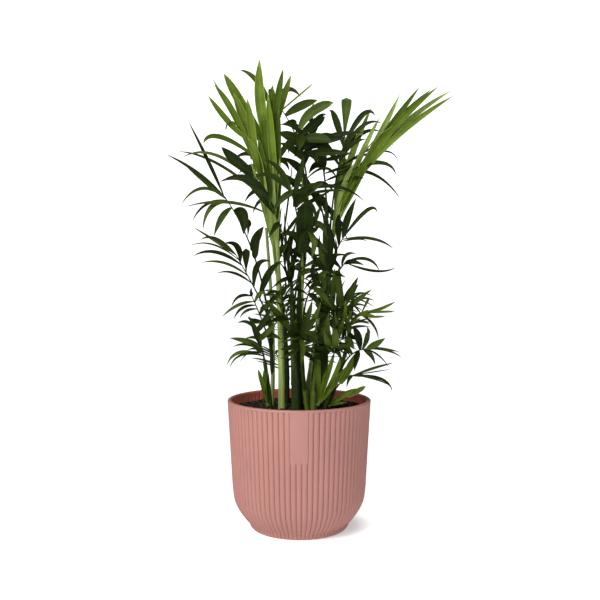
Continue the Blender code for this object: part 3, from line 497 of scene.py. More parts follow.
         (88, (114, 188), (119, 178), 48, 3, 40), (80, (84, 196), (97, 190), 50, 4, 30),
         (84, (64, 194), (61, 178), 44, 5, 20)),
    ],
    "shoot_spikes": [
        ("young", (30, (-46, 182), (-53, 203), 26, 6, 0), (50, (-44, 186), (-45, 203), 24, 5, 0),
         (70, (-46, 188), (-40, 201), 22, 5, 10)),
    ],
    "low_broad": [
        ("young", (100, (62, 198), (74, 225), 30, 10, 0), (20, (44, 182), (60, 206), 34, 7, 0),
         (0, (34, 186), (46, 227), 40, 7, 0), (10, (24, 186), (26, 222), 36, 6, 10),
         (5, (38, 200), (34, 238), 46, 6, 10), (10, (50, 196), (54, 222), 38, 6, 0)),
    ],
    "low_right": [
        ("young", (100, (74, 174), (86, 181), 26, 7, 10), (20, (52, 168), (74, 178), 28, 7, 10),
         (10, (44, 158), (62, 160), 30, 4, 20)),
    ],
}.items()}

# Fronds that carry leaflets by the rule as well as aimed ones, in the dense middle, and the size of those by
# the rule as a share of a frond's own
FILLED = {f"frond_{name}" for name in (
    "front_mid", "front_left", "front_right", "front_low", "front_base", "dense_right", "dense_low",
)}
FILLED_LENGTH = 0.56

# Looks of the aimed leaflets: tint and outline
LOOKS = {
    "dark": ("dark", "dark"),
    "oval": ("dark", "oval"),
    "round": ("dark", "round"),
    "stem": ("dark", "strap"),
    "dark_paddle": ("dark", "paddle"),
    "paddle": ("mid", "paddle"),
    "mid": ("mid", "mid"),
    "light_blade": ("mid", "blade"),
    "light_oval": ("mid", "oval"),
    "young": ("young", "young"),
    "light": ("light", "young"),
    "pale": ("light", "strap"),
}

# Leaflets by the source's rule for how they open and droop along a rib. The scene has more of them, a little
# wider, and lets them wobble further.
EARLY_REACH = 0.22
CLOSING = 1.35
OPENING_WOBBLE = 0.30
LENGTH_WOBBLE = 0.16
DROOP_WOBBLE = 0.5
LOUVRE = 32
LAST_PAIR = 0.97
FINER = 1.4
FINE_WIDTH = 1.1
HAND_OFFSET = 0.012
WIDTH_WOBBLE = (0.85, 1.1)
END_LENGTH = 0.66
MIDDLE_GAIN = 0.34
ARC_START = 0.2
ARC_SPAN = 0.7
DROOP_EASE = 1.2
UPRIGHT = 1e-4

# A leaflet's blade: its rows of points and how it folds, twists and ripples
LEAF_ROWS = 14
LEAF_COLUMNS = (-1, -0.55, 0, 0.55, 1)
LEAF_SLIM = 0.94
FOLD = 0.42
FOLD_WOBBLE = (0.6, 1.4)
FOLD_CURVE = 1.25
TWIST = 14
RIPPLE = 0.05
RIPPLE_WAVES = 9
TIP_PLACE = (0.5, 1.0)

# Ribs, and the sheath with which each clasps its cane
RIB_ROWS = 30
RIB_SIDES = 8
RIB_RADIUS = 1.55 * MM
RIB_TIP_RADIUS = 0.55 * MM
RIB_TAPER = 0.8
CLASP_RADIUS = 2.6 * MM
CLASP_LENGTH = 34 * MM
CLASP_SHARES = (1, 0.75, 0.5, 0.25)
CLASP_HUG = 0.75
CLASP_SWELL = (0.5, 0.6)
SWELL_END = 0.18
SWELL_EASE = 1.5
LEAN_SPAN = 30 * MM

# Leaflet outlines: width at the root, where it is widest, how late it widens and how bluntly it ends
SHAPES = {
    "young": (0.6, 0.5, 1, 3.2),
    "mid": (0.3, 0.42, 1, 1.9),
    "dark": (0.26, 0.40, 1, 1.7),
    "oval": (0.36, 0.5, 1, 2.4),
    "blade": (0.45, 0.6, 1, 4),
    "round": (0.5, 0.62, 1, 4),
    "paddle": (0.16, 0.88, 2.2, 4),
    "strap": (0.8, 0.3, 1, 3),
}

# Base colours, with several for each tint of leaflet, dealt out by chance
TINTS = {
    "light": [(0.19, 0.26, 0.06), (0.15, 0.21, 0.04)],
    "young": [(0.076, 0.120, 0.009), (0.050, 0.086, 0.006), (0.106, 0.158, 0.017)],
    "mid": [(0.042, 0.066, 0.008), (0.030, 0.050, 0.006), (0.056, 0.084, 0.012)],
    "dark": [(0.013, 0.024, 0.003), (0.012, 0.021, 0.003), (0.018, 0.031, 0.004), (0.024, 0.040, 0.005)],
}

# The share of a paler colour at a leaflet's margins, midrib and root, how pale it is there, and how much its
# veins show. The paler margins and midrib are a painted sheen.
MARGIN_SHEENS = {"light": 0.5, "young": 0.85, "mid": 0.25, "dark": 0.2}
MIDRIB_SHEEN_SHARE = 0.4
ROOT_SHARE = 0.45
ROOT_PALE = 1.7
PALE = 2.3
VEIN_SHARE = 0.14

# Colours of the stems, the pot and the soil
RIB_TINTS = {"young": (0.13, 0.19, 0.03), "mid": (0.05, 0.08, 0.012), "dark": (0.022, 0.038, 0.006)}
CANE_TINTS = {"stalk": (0.28, 0.36, 0.10), "sheath": (0.022, 0.038, 0.006), "young": (0.075, 0.12, 0.012)}
CLAY = (0.425, 0.182, 0.150)
CLAY_SPECULAR = 0.9
# Painted bounce light: the inside wall's copy of the plastic, redder and brighter than the outside
INNER_CLAY_PAINTED_BOUNCE = (0.66, 0.16, 0.105)
INNER_CLAY_PAINTED_BOUNCE_SPECULAR = 0.2
PEAT = (0.016, 0.011, 0.008)
CRUMB_COLOURS = [
    (0.014, 0.010, 0.007), (0.030, 0.020, 0.013), (0.075, 0.052, 0.032), (0.16, 0.11, 0.065),
]

# Roughness and gloss
LEAF_ROUGHNESS = 0.52
LEAF_SPECULAR = 0.09
RIB_ROUGHNESS = 0.45
CANE_ROUGHNESS = 0.48
STEM_SPECULAR = 0.15
POT_ROUGHNESS = 0.6
SOIL_ROUGHNESS = 0.95
SOIL_SPECULAR = 0.2


# Materials

def set_inputs(node, values):
    for name, value in values.items():
        node.inputs[name].default_value = value


def add_node(tree, kind, values=None, feeds=None):
    """A shader node with its inputs set to values, or fed by other nodes' outputs, by the inputs' names."""
    made = tree.nodes.new(f"ShaderNode{kind}")
    set_inputs(made, values or {})
    for name, source in (feeds or {}).items():
        tree.links.new(source, made.inputs[name])
    return made


def new_material(name, colour, roughness, specular):
    """A material with its constants on the shader. It returns the material, its node tree and the shader."""
    material = bpy.data.materials.new(name)
    material.use_nodes = True
    material.diffuse_color = (*colour, 1)
    tree = material.node_tree
    shader = tree.nodes["Principled BSDF"]
    set_inputs(shader, {"Base Color": (*colour, 1), "Roughness": roughness, "Specular IOR Level": specular})
    return material, tree, shader


def add_noise(tree, vector, scale, detail, roughness=0.5):
    values = {"Scale": scale, "Detail": detail, "Roughness": roughness}
    return add_node(tree, "TexNoise", values, {"Vector": vector}).outputs["Fac"]


def stretched(tree, scale=(1, 1, 1)):
    """Object coordinates scaled on each axis."""
    place = add_node(tree, "TexCoord").outputs["Object"]
    return add_node(tree, "Mapping", {"Scale": scale}, {"Vector": place}).outputs["Vector"]


def add_ramp(tree, value, stops):
    """A colour ramp over value, with stops as (place, colour)."""
    ramp = add_node(tree, "ValToRGB", feeds={"Fac": value})
    elements = ramp.color_ramp.elements
    for element, (place, colour) in zip(elements, (stops[0], stops[-1])):
        element.position = place
        element.color = (*colour, 1)
    for place, colour in stops[1:-1]:
        elements.new(place).color = (*colour, 1)
    return ramp.outputs["Color"]


def add_bump(tree, height, shader, strength, distance):
    bump = add_node(tree, "Bump", {"Strength": strength, "Distance": distance}, {"Height": height})
    tree.links.new(bump.outputs["Normal"], shader.inputs["Normal"])


def shaded(colour, share):
    return tuple(min(1, channel * share) for channel in colour)


def grey(level):
    return (level, level, level)


def mix_colours(tree, factor, first, second, blend="MIX"):
    mix = add_node(tree, "Mix")
    mix.data_type = "RGBA"
    mix.blend_type = blend
    if isinstance(factor, float):
        mix.inputs["Factor"].default_value = factor
    else:
        tree.links.new(factor, mix.inputs["Factor"])
    for value, socket in ((first, mix.inputs["A"]), (second, mix.inputs["B"])):
        if isinstance(value, tuple):
            socket.default_value = (*value, 1)
        else:
            tree.links.new(value, socket)
    return mix.outputs["Result"]


def leaf_material(name, colour, margin_sheen):
    """A leaflet's skin: soft mottling, fine veins along it, a paler root, and a painted sheen as a paler
    midrib and margin.
    """
    material, tree, shader = new_material(name, colour, LEAF_ROUGHNESS, LEAF_SPECULAR)
    mottle = add_noise(tree, stretched(tree), scale=60, detail=3)
    base = add_ramp(tree, mottle, [(0.3, shaded(colour, 0.82)), (0.7, shaded(colour, 1.18))])
    place = add_node(tree, "UVMap")
    place.uv_map = "UVMap"
    veins = add_node(tree, "TexWave", {"Scale": 3.2, "Distortion": 0.4}, {"Vector": place.outputs["UV"]})
    veins.wave_type = "BANDS"
    veins.bands_direction = "X"
    veined = mix_colours(tree, VEIN_SHARE, base, veins.outputs["Color"], "SOFT_LIGHT")
    # Paler margins and midrib: a painted sheen along them.
    none, edge, midrib = grey(0), grey(margin_sheen), grey(MIDRIB_SHEEN_SHARE)
    parts = add_node(tree, "SeparateXYZ", feeds={"Vector": place.outputs["UV"]})
    along = add_ramp(tree, parts.outputs["Y"], [(0.0, grey(ROOT_SHARE)), (0.16, none), (1.0, none)])
    rooted = mix_colours(tree, along, veined, shaded(colour, ROOT_PALE))
    across = add_ramp(tree, parts.outputs["X"], [
        (0.0, edge), (0.09, none), (0.455, none), (0.5, midrib), (0.545, none), (0.91, none), (1.0, edge),
    ])
    pale = mix_colours(tree, across, rooted, shaded(colour, PALE))
    tree.links.new(pale, shader.inputs["Base Color"])
    add_bump(tree, veins.outputs["Fac"], shader, strength=0.22, distance=0.25 * MM)
    return material


def stem_material(name, colour, roughness):
    """A fibrous stem: stripes along it, in lighter and darker lines."""
    material, tree, shader = new_material(name, colour, roughness, STEM_SPECULAR)
    stripes = add_noise(tree, stretched(tree, (1, 1, 0.03)), scale=420, detail=3, roughness=0.6)
    blotches = add_noise(tree, stretched(tree, (1, 1, 0.4)), scale=90, detail=2)
    base = add_ramp(tree, stripes, [(0.36, shaded(colour, 0.55)), (0.5, colour), (0.66, shaded(colour, 1.5))])
    tree.links.new(mix_colours(tree, blotches, base, shaded(colour, 0.8)), shader.inputs["Base Color"])
    add_bump(tree, stripes, shader, strength=0.35, distance=0.3 * MM)
    return material


def pot_material(name, colour, specular):
    """Matt moulded plastic: a fine grain and a faint unevenness of colour."""
    material, tree, shader = new_material(name, colour, POT_ROUGHNESS, specular)
    cloud = add_noise(tree, stretched(tree), scale=14, detail=4)
    speck = add_noise(tree, stretched(tree), scale=900, detail=2)
    base = add_ramp(tree, cloud, [(0.3, shaded(colour, 0.95)), (0.7, shaded(colour, 1.04))])
    tree.links.new(mix_colours(tree, 0.07, base, speck, "OVERLAY"), shader.inputs["Base Color"])
    rough = add_ramp(tree, speck, [(0.2, grey(0.54)), (0.8, grey(0.66))])
    tree.links.new(rough, shader.inputs["Roughness"])
    add_bump(tree, speck, shader, strength=0.12, distance=0.12 * MM)
    return material


def soil_material(name, colour):
    """Damp peat: dark clods with browner flecks."""
    material, tree, shader = new_material(name, colour, SOIL_ROUGHNESS, SOIL_SPECULAR)
    flecks = add_noise(tree, stretched(tree), scale=420, detail=4, roughness=0.65)
    stops = [(0.35, shaded(colour, 0.4)), (0.55, colour)]
    stops += [(0.68, shaded(colour, 2.4)), (0.8, shaded(colour, 5))]
    tree.links.new(add_ramp(tree, flecks, stops), shader.inputs["Base Color"])
    add_bump(tree, flecks, shader, strength=0.8, distance=0.6 * MM)
    return material


# Meshes

def add_object(name, data):
    made = bpy.data.objects.new(name, data)
    bpy.context.scene.collection.objects.link(made)
    return made


class Sheet:
    """Points, faces, places on each face and the shade of each face, gathered for one mesh."""

    def __init__(self):
        self.points = []
        self.faces = []
        self.places = []
        self.shades = []

    def add_grid(self, rows, places, shade, closed=False):
        """Quads between neighbouring rows of points. A closed grid joins the ends of each row."""
        start = len(self.points)
        width = len(rows[0])
        for row in rows:
            self.points += row
        across = width if closed else width - 1
        for i in range(len(rows) - 1):
            for j in range(across):
                right = (j + 1) % width
                low = start + i * width
                high = low + width
                self.faces.append((low + j, low + right, high + right, high + j))
                self.places.append((places[i][j], places[i][j + 1], places[i + 1][j + 1], places[i + 1][j]))
                self.shades.append(shade)
        return start

    def add_fan(self, numbers, tip, shade):
        """Triangles from a row of point numbers to one further point."""
        self.points.append(tip)
        last = len(self.points) - 1
        for a, b in zip(numbers, numbers[1:]):
            self.faces.append((a, b, last))
            self.places.append((TIP_PLACE, TIP_PLACE, TIP_PLACE))
            self.shades.append(shade)

    def make(self, name, materials):
        mesh = bpy.data.meshes.new(name)
        mesh.from_pydata(self.points, [], self.faces)
        layer = mesh.uv_layers.new(name="UVMap")
        layer.data.foreach_set("uv", [value for face in self.places for place in face for value in place])
        mesh.polygons.foreach_set("material_index", self.shades)
        mesh.polygons.foreach_set("use_smooth", [True] * len(self.faces))
        for material in materials:
            mesh.materials.append(material)
        mesh.update()
        return add_object(name, mesh)


def dress(made, nodes):
    """The piece rides on the part's one body, and these solids, which it stands for, are hidden."""
    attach(made, "root")
    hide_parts(*nodes)


def polar(radius, angle, height=0):
    return radius * math.cos(angle), radius * math.sin(angle), height


def ring(start, count):
    """The numbers of a closed row of points, back to the first."""
    return [*range(start, start + count), start]


def places_around(columns, rows, span):
    """Places on the skin of a closed grid: round it, and along it in shares of span rows."""
    return [[(j / columns, i / span) for j in range(columns + 1)] for i in range(rows)]


def smooth_step(value, low, high):
    share = max(0.0, min(1.0, (value - low) / (high - low)))
    return share * share * (3 - 2 * share)


# Pot

def wall_share(height):
    return (height - WALL_FOOT_Z) / (POT_HEIGHT - WALL_FOOT_Z)


def wall_radius(height):
    return WALL_FOOT_RADIUS + wall_share(height) * (RIM_RADIUS - WALL_FOOT_RADIUS)


def inner_radius(height):
    foot = WALL_FOOT_RADIUS - WALL
    return foot + wall_share(height) * (RIM_RADIUS - LIP_WIDTH - foot)


def curved_through(points, steps):
    """A smooth curve through (radius, height) points."""
    padded = [points[0]] + points + [points[-1]]
    made = []
    for i in range(1, len(padded) - 2):
        before, here, there, after = (Vector(point) for point in padded[i - 1:i + 3])
        for step in range(steps):
            t = step / steps
            point = here * 2 + (there - before) * t
            point += (before * 2 - here * 5 + there * 4 - after) * t * t
            point += (here * 3 - before - there * 3 + after) * t**3
            made.append(tuple(point / 2))
    return made + [points[-1]]


def pot_profile():
    """(radius, height, rib depth) from the cavity's floor, over the lip and down to the underside."""
    rows = [(radius * MM, height * MM, 0) for radius, height in CAVITY]
    rows.append((inner_radius(WALL_FOOT_Z), WALL_FOOT_Z, 0))
    rows += [(inner_radius(height * MM), height * MM, -INNER_RIB_DEPTH) for height in INNER_RIB_HEIGHTS]
    rows.append((inner_radius(INNER_RIB_TOP), INNER_RIB_TOP, 0))
    rows += [(RIM_RADIUS - LIP_WIDTH + inset * MM, POT_HEIGHT + drop * MM, 0) for inset, drop in LIP_ROUND]
    below = POT_HEIGHT - LIP_BAND
    rows.append((wall_radius(below), below, 0))
    for drop, share in RIB_START:
        height = below - drop * MM
        rows.append((wall_radius(height), height, RIB_DEPTH * share))
    heights = [height * MM for height in RIB_HEIGHTS_BESIDE_PANEL]
    heights += [PANEL_BOTTOM + PANEL_EDGE * share for share in PANEL_EDGE_STEPS]
    heights += [height * MM for height in RIB_HEIGHTS_BELOW_PANEL]
    rows += [(wall_radius(height), height, RIB_DEPTH) for height in heights]
    bowl = curved_through([(WALL_FOOT_RADIUS / MM, WALL_FOOT_Z / MM)] + BOWL, BOWL_STEPS)
    rows += [(radius * MM, height * MM, RIB_DEPTH) for radius, height in bowl]
    rows += [(radius * MM, height * MM, RIB_DEPTH * FOOT_RIB_SHARE) for radius, height in FOOT]
    rows.append((FOOT_EDGE[0] * MM, FOOT_EDGE[1] * MM, RIB_DEPTH * FOOT_EDGE_RIB_SHARE))
    rows += [(radius * MM, height * MM, 0) for radius, height in UNDERSIDE]
    return rows


def rib_share(offset):
    """How deep the groove is at a place across a rib, which is a rounded reed."""
    return 1 - math.sqrt(max(0.0, 1 - (2 * offset) ** 2))


def make_pot():
    sheet = Sheet()
    profile = pot_profile()
    columns = [(rib + offset) for rib in range(RIBS) for offset in RIB_COLUMNS]
    width = len(columns)
    rows = []
    for radius, height, depth in profile[1:-1]:
        row = []
        for column in columns:
            share = rib_share(column - round(column))
            from_front = abs(math.remainder(column, RIBS))
            if depth > 0 and from_front < PANEL_RIBS / 2 + PANEL_SLACK:
                share *= 1 - smooth_step(height, PANEL_BOTTOM, PANEL_BOTTOM + PANEL_EDGE)
            row.append(polar(radius - share * depth, column / RIBS * math.tau - math.pi / 2, height))
        rows.append(row)
    start = sheet.add_grid(rows, places_around(width, len(rows), len(rows)), 0, closed=True)
    sheet.add_fan(ring(start, width)[::-1], (0, 0, profile[0][1]), 0)
    sheet.add_fan(ring(start + (len(rows) - 1) * width, width), (0, 0, profile[-1][1]), 0)
    outside = pot_material("dusty_pink_plastic", CLAY, CLAY_SPECULAR)
    # The inside wall gets a redder, brighter copy of the plastic: painted bounce light.
    inside_painted_bounce = pot_material("pink_plastic_painted_bounce_light", INNER_CLAY_PAINTED_BOUNCE, INNER_CLAY_PAINTED_BOUNCE_SPECULAR)
    pot = sheet.make("pot_shell", [outside, inside_painted_bounce])
    # Faces of the inside wall take the copy with the painted bounce light.
    for face in pot.data.polygons:
        x, y, height = face.center
        on_wall = WALL_FOOT_Z < height < POT_HEIGHT - LIP_BAND
        if on_wall and math.hypot(x, y) < inner_radius(height) + INNER_MARGIN:
            face.material_index = 1
    pot.data.set_sharp_from_angle(angle=math.radians(SHARP_ANGLE))
    dress(pot, ["pot"])


# Soil

def soil_height(x, y):
    """The bed's surface: level, falling a little to the pot's wall, with lumps of three sizes."""
    fall = SOIL_EDGE_DROP * smooth_step(math.hypot(x, y), SOIL_CROWN_RADIUS, SOIL_RADIUS)
    place = Vector((x, y, 0))
    lumps = sum(noise.noise(place / (width * MM)) * height for width, height in SOIL_LUMPS)
    return SOIL_TOP - fall + lumps * MM


def make_bed():
    sheet = Sheet()
    rows = []
    for i in range(1, SOIL_RINGS + 1):
        row = []
        for j in range(SOIL_COLUMNS):
            x, y, _ = polar(SOIL_RADIUS * i / SOIL_RINGS, j / SOIL_COLUMNS * math.tau)
            row.append((x, y, soil_height(x, y)))
        rows.append(row)
    start = sheet.add_grid(rows, places_around(SOIL_COLUMNS, SOIL_RINGS, SOIL_RINGS), 0, closed=True)
    sheet.add_fan(ring(start, SOIL_COLUMNS)[::-1], (0, 0, soil_height(0, 0)), 0)
    bed = sheet.make("soil_bed", [soil_material("peat", PEAT)])
    dress(bed, ["soil"])


def add_clod(sheet, centre, size, chance, shade):
    """One lump of twelve points, squashed and turned by chance."""
    turn = Quaternion([chance.uniform(-1, 1) for _ in range(4)]).normalized()
    squash = [chance.uniform(*CLOD_SQUASH) for _ in range(3)]
    start = len(sheet.points)
    for corner in CLOD:
        point = Vector(a * b for a, b in zip(corner, squash)) * size * chance.uniform(*CLOD_LUMPS)
        sheet.points.append(tuple(centre + turn @ point))
    for face in CLOD_FACES:
        sheet.faces.append(tuple(start + i for i in face))
        sheet.places.append(((0, 0), (1, 0), (0.5, 1)))
        sheet.shades.append(shade)


def spot(chance, reach):
    """A place within reach of the middle, dealt out evenly over the bed."""
    radius = reach * math.sqrt(chance.random())
    return polar(radius, chance.uniform(0, math.tau))


def on_soil(x, y, lift):
    return Vector((x, y, soil_height(x, y) + lift))


def make_crumbs():
    sheet = Sheet()
    chance = random.Random("crumbs")
    reach = SOIL_RADIUS - CRUMB_MARGIN
    for _ in range(CRUMBS):
        x, y, _ = spot(chance, reach)
        size = chance.choice(CRUMB_SIZES) * MM
        add_clod(sheet, on_soil(x, y, size * CRUMB_LIFT), size, chance, chance.choice(CRUMB_SHADES))
    for _ in range(FIBRES):
        start = Vector(spot(chance, reach))
        heading = chance.uniform(0, math.tau)
        step = Vector(polar(1, heading)) * chance.uniform(*FIBRE_STEP) * MM
        line = []
        for i in range(FIBRE_POINTS):
            point = start + step * i * FIBRE_STRIDE
            if math.hypot(point.x, point.y) > reach:
                point = point * (reach / math.hypot(point.x, point.y))
            line.append(on_soil(point.x, point.y, FIBRE_LIFT))
            step.rotate(Quaternion(UP, chance.uniform(-FIBRE_BEND, FIBRE_BEND)))
        add_tube(sheet, line, [FIBRE_RADIUS] * FIBRE_POINTS, FIBRE_SIDES, FIBRE_SHADE)
    materials = [soil_material(f"crumb_{i}", colour) for i, colour in enumerate(CRUMB_COLOURS)]
    crumbs = sheet.make("soil_crumbs", materials)
    dress(crumbs, ["soil"])


# Stems

def about(axis, degrees):
    return Quaternion(axis, math.radians(degrees))


def add_tube(sheet, centres, radii, sides, shade, shape=None):
    """A closed tube along points. shape(row, angle) scales its radius."""
    rows = []
    last = len(centres) - 1
    across = None
    for i, (centre, radius) in enumerate(zip(centres, radii)):
        along = (centres[min(i + 1, last)] - centres[max(i - 1, 0)]).normalized()
        start = across or (Vector((1, 0, 0)) if abs(along.x) < 0.8 else UP)
        across = (start - along * start.dot(along)).normalized()
        other = along.cross(across)
        row = []
        for j in range(sides):
            angle = j / sides * math.tau
            size = radius * (shape(i, angle) if shape else 1)
            row.append(tuple(centre + (across * math.cos(angle) + other * math.sin(angle)) * size))
        rows.append(row)
    start = sheet.add_grid(rows, places_around(sides, len(rows), last), shade, closed=True)
    sheet.add_fan(ring(start, sides)[::-1], tuple(centres[0]), shade)
    sheet.add_fan(ring(start + last * sides, sides), tuple(centres[-1]), shade)


def cane_point(cane, height):
    """Centre of the cane at a height: it leans from foot to top and bows sideways between them."""
    foot = Vector((cane.foot[0] * MM, cane.foot[1] * MM, SOIL_TOP + CANE_GAP))
    top = Vector(cane.top) * MM
    share = (height - foot.z) / (top.z - foot.z)
    eased = share * share * (3 - 2 * share) * 0.5 + share * 0.5
    point = foot.lerp(top, eased)
    point.x += cane.bow * MM * math.sin(math.pi * share)
    point.z = height
    return point


def cane_radius(cane, height):
    share = (height - SOIL_TOP) / (cane.top[2] * MM - SOIL_TOP)
    return (cane.radius + share * (cane.top_radius - cane.radius)) * MM


def add_cane(sheet, name, cane):
    """A cane wrapped in one leaf sheath after another, each widest at its ring and fluted."""
    chance = random.Random(name)
    low = SOIL_TOP - CANE_SUNK
    high = cane.top[2] * MM
    rows = round((high - low) / CANE_STEP)
    heights = [low + (high - low) * i / rows for i in range(rows + 1)]
    spacing = NODE_SPACING * chance.uniform(*NODE_WOBBLE)
    offset = chance.uniform(0, spacing)
    twist = chance.uniform(0, math.tau)
    radii = []
    for height in heights:
        since_ring = math.fmod(height + offset, spacing) / spacing
        at_ring = math.exp(-((since_ring - RING_WIDTH) / RING_WIDTH) ** 2)
        wrap = 1 + SHEATH_SWELL * (1 - since_ring) + RING_SWELL * at_ring
        radii.append(cane_radius(cane, height) * wrap * CANE_SLIM)

    def shape(row, angle):
        lean = twist + row * CANE_TWIST
        return 1 + FLUTE_DEPTH * math.cos(FLUTES * angle + lean) + OVAL_DEPTH * math.cos(2 * angle + lean)

    add_tube(sheet, [cane_point(cane, height) for height in heights], radii, CANE_SIDES, 0, shape)


def make_canes():
    for tint, colour in CANE_TINTS.items():
        sheet = Sheet()
        names = [name for name, cane in CANES.items() if cane.tint == tint]
        for name in names:
            add_cane(sheet, name, CANES[name])
        made = sheet.make(f"canes_{tint}", [stem_material(f"cane_{tint}", colour, CANE_ROUGHNESS)])
        dress(made, names)


# Fronds

Station = namedtuple("Station", "centre along side face")


def curve_at(start, middle, end, share):
    """Point and direction on the curve that leaves start towards middle and arrives at end."""
    point = start * (1 - share) ** 2 + middle * 2 * share * (1 - share) + end * share**2
    along = ((middle - start) * (1 - share) + (end - middle) * share).normalized()
    return point, along


def frond_path(frond):
    """Three points that steer the rib: its foot on the cane, the point it rises towards, and its end."""
    cane = CANES[frond.cane]
    tip = Vector(frond.tip) * MM
    if frond.leaves is None:
        top = cane.top[2] * MM
        foot = cane_point(cane, top)
        lean = (foot - cane_point(cane, top - LEAN_SPAN)).normalized()
        return foot, foot + lean * frond.rise * MM, tip
    height = frond.leaves * MM
    centre = cane_point(cane, height)
    out = Vector((tip.x - centre.x, tip.y - centre.y, 0))
    foot = centre + out.normalized() * (cane_radius(cane, height) + RIB_RADIUS / 2)
    return foot, foot + UP * frond.rise * MM + out * EARLY_REACH, tip


def station_at(frond, path, share):
    """A place on the rib: its centre, the way it runs, the side it opens to, and the way it faces."""
    foot, _, tip = path
    heading = math.atan2(tip.y - foot.y, tip.x - foot.x)
    level = Vector((math.sin(heading), -math.cos(heading), 0))
    centre, along = curve_at(*path, share)
    side = (level - along * level.dot(along)).normalized()
    side.rotate(about(along, frond.roll))
    return Station(centre, along, side, side.cross(along))


def add_rib(sheet, frond, path):
    """The frond's stalk and rib, from a sheath that clasps the cane to a fine end."""
    cane = CANES[frond.cane]
    foot = path[0]
    centres = []
    radii = []
    least, gain = CLASP_SWELL
    for share in CLASP_SHARES:
        height = foot.z - CLASP_LENGTH * share
        if height < SOIL_TOP:
            continue
        inward = (foot - cane_point(cane, foot.z)) * (1 - CLASP_HUG * share)
        centres.append(cane_point(cane, height) + inward)
        radii.append(CLASP_RADIUS * (least + gain * math.sin(math.pi * share)))
    for i in range(RIB_ROWS + 1):
        share = LAST_PAIR * i / RIB_ROWS
        centres.append(station_at(frond, path, share).centre)
        swell = (CLASP_RADIUS - RIB_RADIUS) * max(0.0, 1 - share / SWELL_END) ** SWELL_EASE
        radii.append(RIB_RADIUS + (RIB_TIP_RADIUS - RIB_RADIUS) * share**RIB_TAPER + swell)
    add_tube(sheet, centres, radii, RIB_SIDES, 0)


def rule_spine(frond, station, rank, hand, wobble):
    """Centres, directions and width directions down a leaflet, by the source's rule in finer steps."""
    opening = frond.closes + (frond.opens - frond.closes) * (1 - rank) ** CLOSING
    opening = math.radians(opening * (1 + OPENING_WOBBLE * wobble[0]))
    lift = math.radians(frond.lift)
    outward = station.side * hand * math.cos(lift) + station.face * math.sin(lift)
    start = station.along * math.cos(opening) + outward * math.sin(opening)
    across = (station.along - start * station.along.dot(start)).normalized()
    across.rotate(about(start, -hand * LOUVRE))
    arc = math.sin(math.pi * (ARC_START + ARC_SPAN * rank))
    length = frond.blade * MM * (END_LENGTH + MIDDLE_GAIN * arc)
    length *= 1 + LENGTH_WOBBLE * wobble[1]
    bend = math.radians(frond.droop) * math.hypot(start.x, start.y) * (1 + DROOP_WOBBLE * wobble[2])
    axis = start.cross(-UP)
    spine = []
    centre = station.centre.copy()
    for row in range(LEAF_ROWS + 1):
        direction = start.copy()
        if axis.length > UPRIGHT:
            direction.rotate(about(axis.normalized(), math.degrees(bend) * (row / LEAF_ROWS) ** DROOP_EASE))
        sideways = (across - direction * across.dot(direction)).normalized()
        spine.append((centre.copy(), direction, sideways))
        centre += direction * length / LEAF_ROWS
    return spine


def outline(share, shape):
    """Half width of a leaflet as a share of its widest, from root to tip."""
    root, widest, delay, point = SHAPES[shape]
    if share < widest:
        return root + (1 - root) * math.sin(share / widest * math.pi / 2) ** delay
    return 1 - ((share - widest) / (1 - widest)) ** point


def add_leaf(sheet, spine, width, shape, shade, chance):
    """One leaflet: a blade folded along its midrib, twisted a little, and drawn to a point."""
    twist = chance.uniform(-TWIST, TWIST)
    fold = FOLD * chance.uniform(*FOLD_WOBBLE)
    phase = chance.uniform(0, math.tau)
    rows = []
    places = []
    last = len(spine) - 1
    for i, (centre, direction, across) in enumerate(spine[:-1]):
        share = i / last
        turned = across.copy()
        turned.rotate(about(direction, twist * share))
        normal = turned.cross(direction)
        half = width / 2 * outline(share, shape)
        row = []
        for column in LEAF_COLUMNS:
            sink = fold * abs(column) ** FOLD_CURVE * half
            ripple = RIPPLE * half * column * column * math.sin(RIPPLE_WAVES * share + phase + column)
            row.append(tuple(centre + turned * column * half * LEAF_SLIM - normal * (sink + ripple)))
        rows.append(row)
        places.append([((column + 1) / 2, share) for column in LEAF_COLUMNS])
    start = sheet.add_grid(rows, places, shade)
    count = len(LEAF_COLUMNS)
    first = start + (len(rows) - 1) * count
    sheet.add_fan(range(first, first + count), tuple(spine[-1][0]), shade)


def seen(across, up, front):
    """The point seen at a place in the plant's middle plane, brought forward along the line of sight."""
    camera = Vector(CAMERA_PLACE)
    place = Vector((across * MM, 0, up * MM))
    return camera + (place - camera) * (1 + front * MM / camera.y)


def aimed_spine(station, aim):
    """Centres, directions and width directions down a leaflet that ends where it is aimed."""
    root = station.centre
    tip = seen(*aim.ends, aim.front)
    bend = seen(*aim.bends, (aim.front - root.y / MM) / 2)
    spine = []
    for row in range(LEAF_ROWS + 1):
        share = row / LEAF_ROWS
        centre, direction = curve_at(root, bend, tip, share)
        facing = direction.cross(Vector((0, 1, 0))).normalized()
        facing.rotate(about(direction, math.copysign(aim.roll, -direction.x)))
        spine.append((centre, direction, facing))
    return spine


def add_aimed(leaves, name, frond, path):
    for i, aim in enumerate(AIMED[name]):
        chance = random.Random(f"{name} aimed {i}")
        station = station_at(frond, path, aim.share * LAST_PAIR)
        tint, shape = LOOKS[aim.look]
        shade = chance.randrange(len(TINTS[tint]))
        add_leaf(leaves[tint], aimed_spine(station, aim), aim.width * MM, shape, shade, chance)


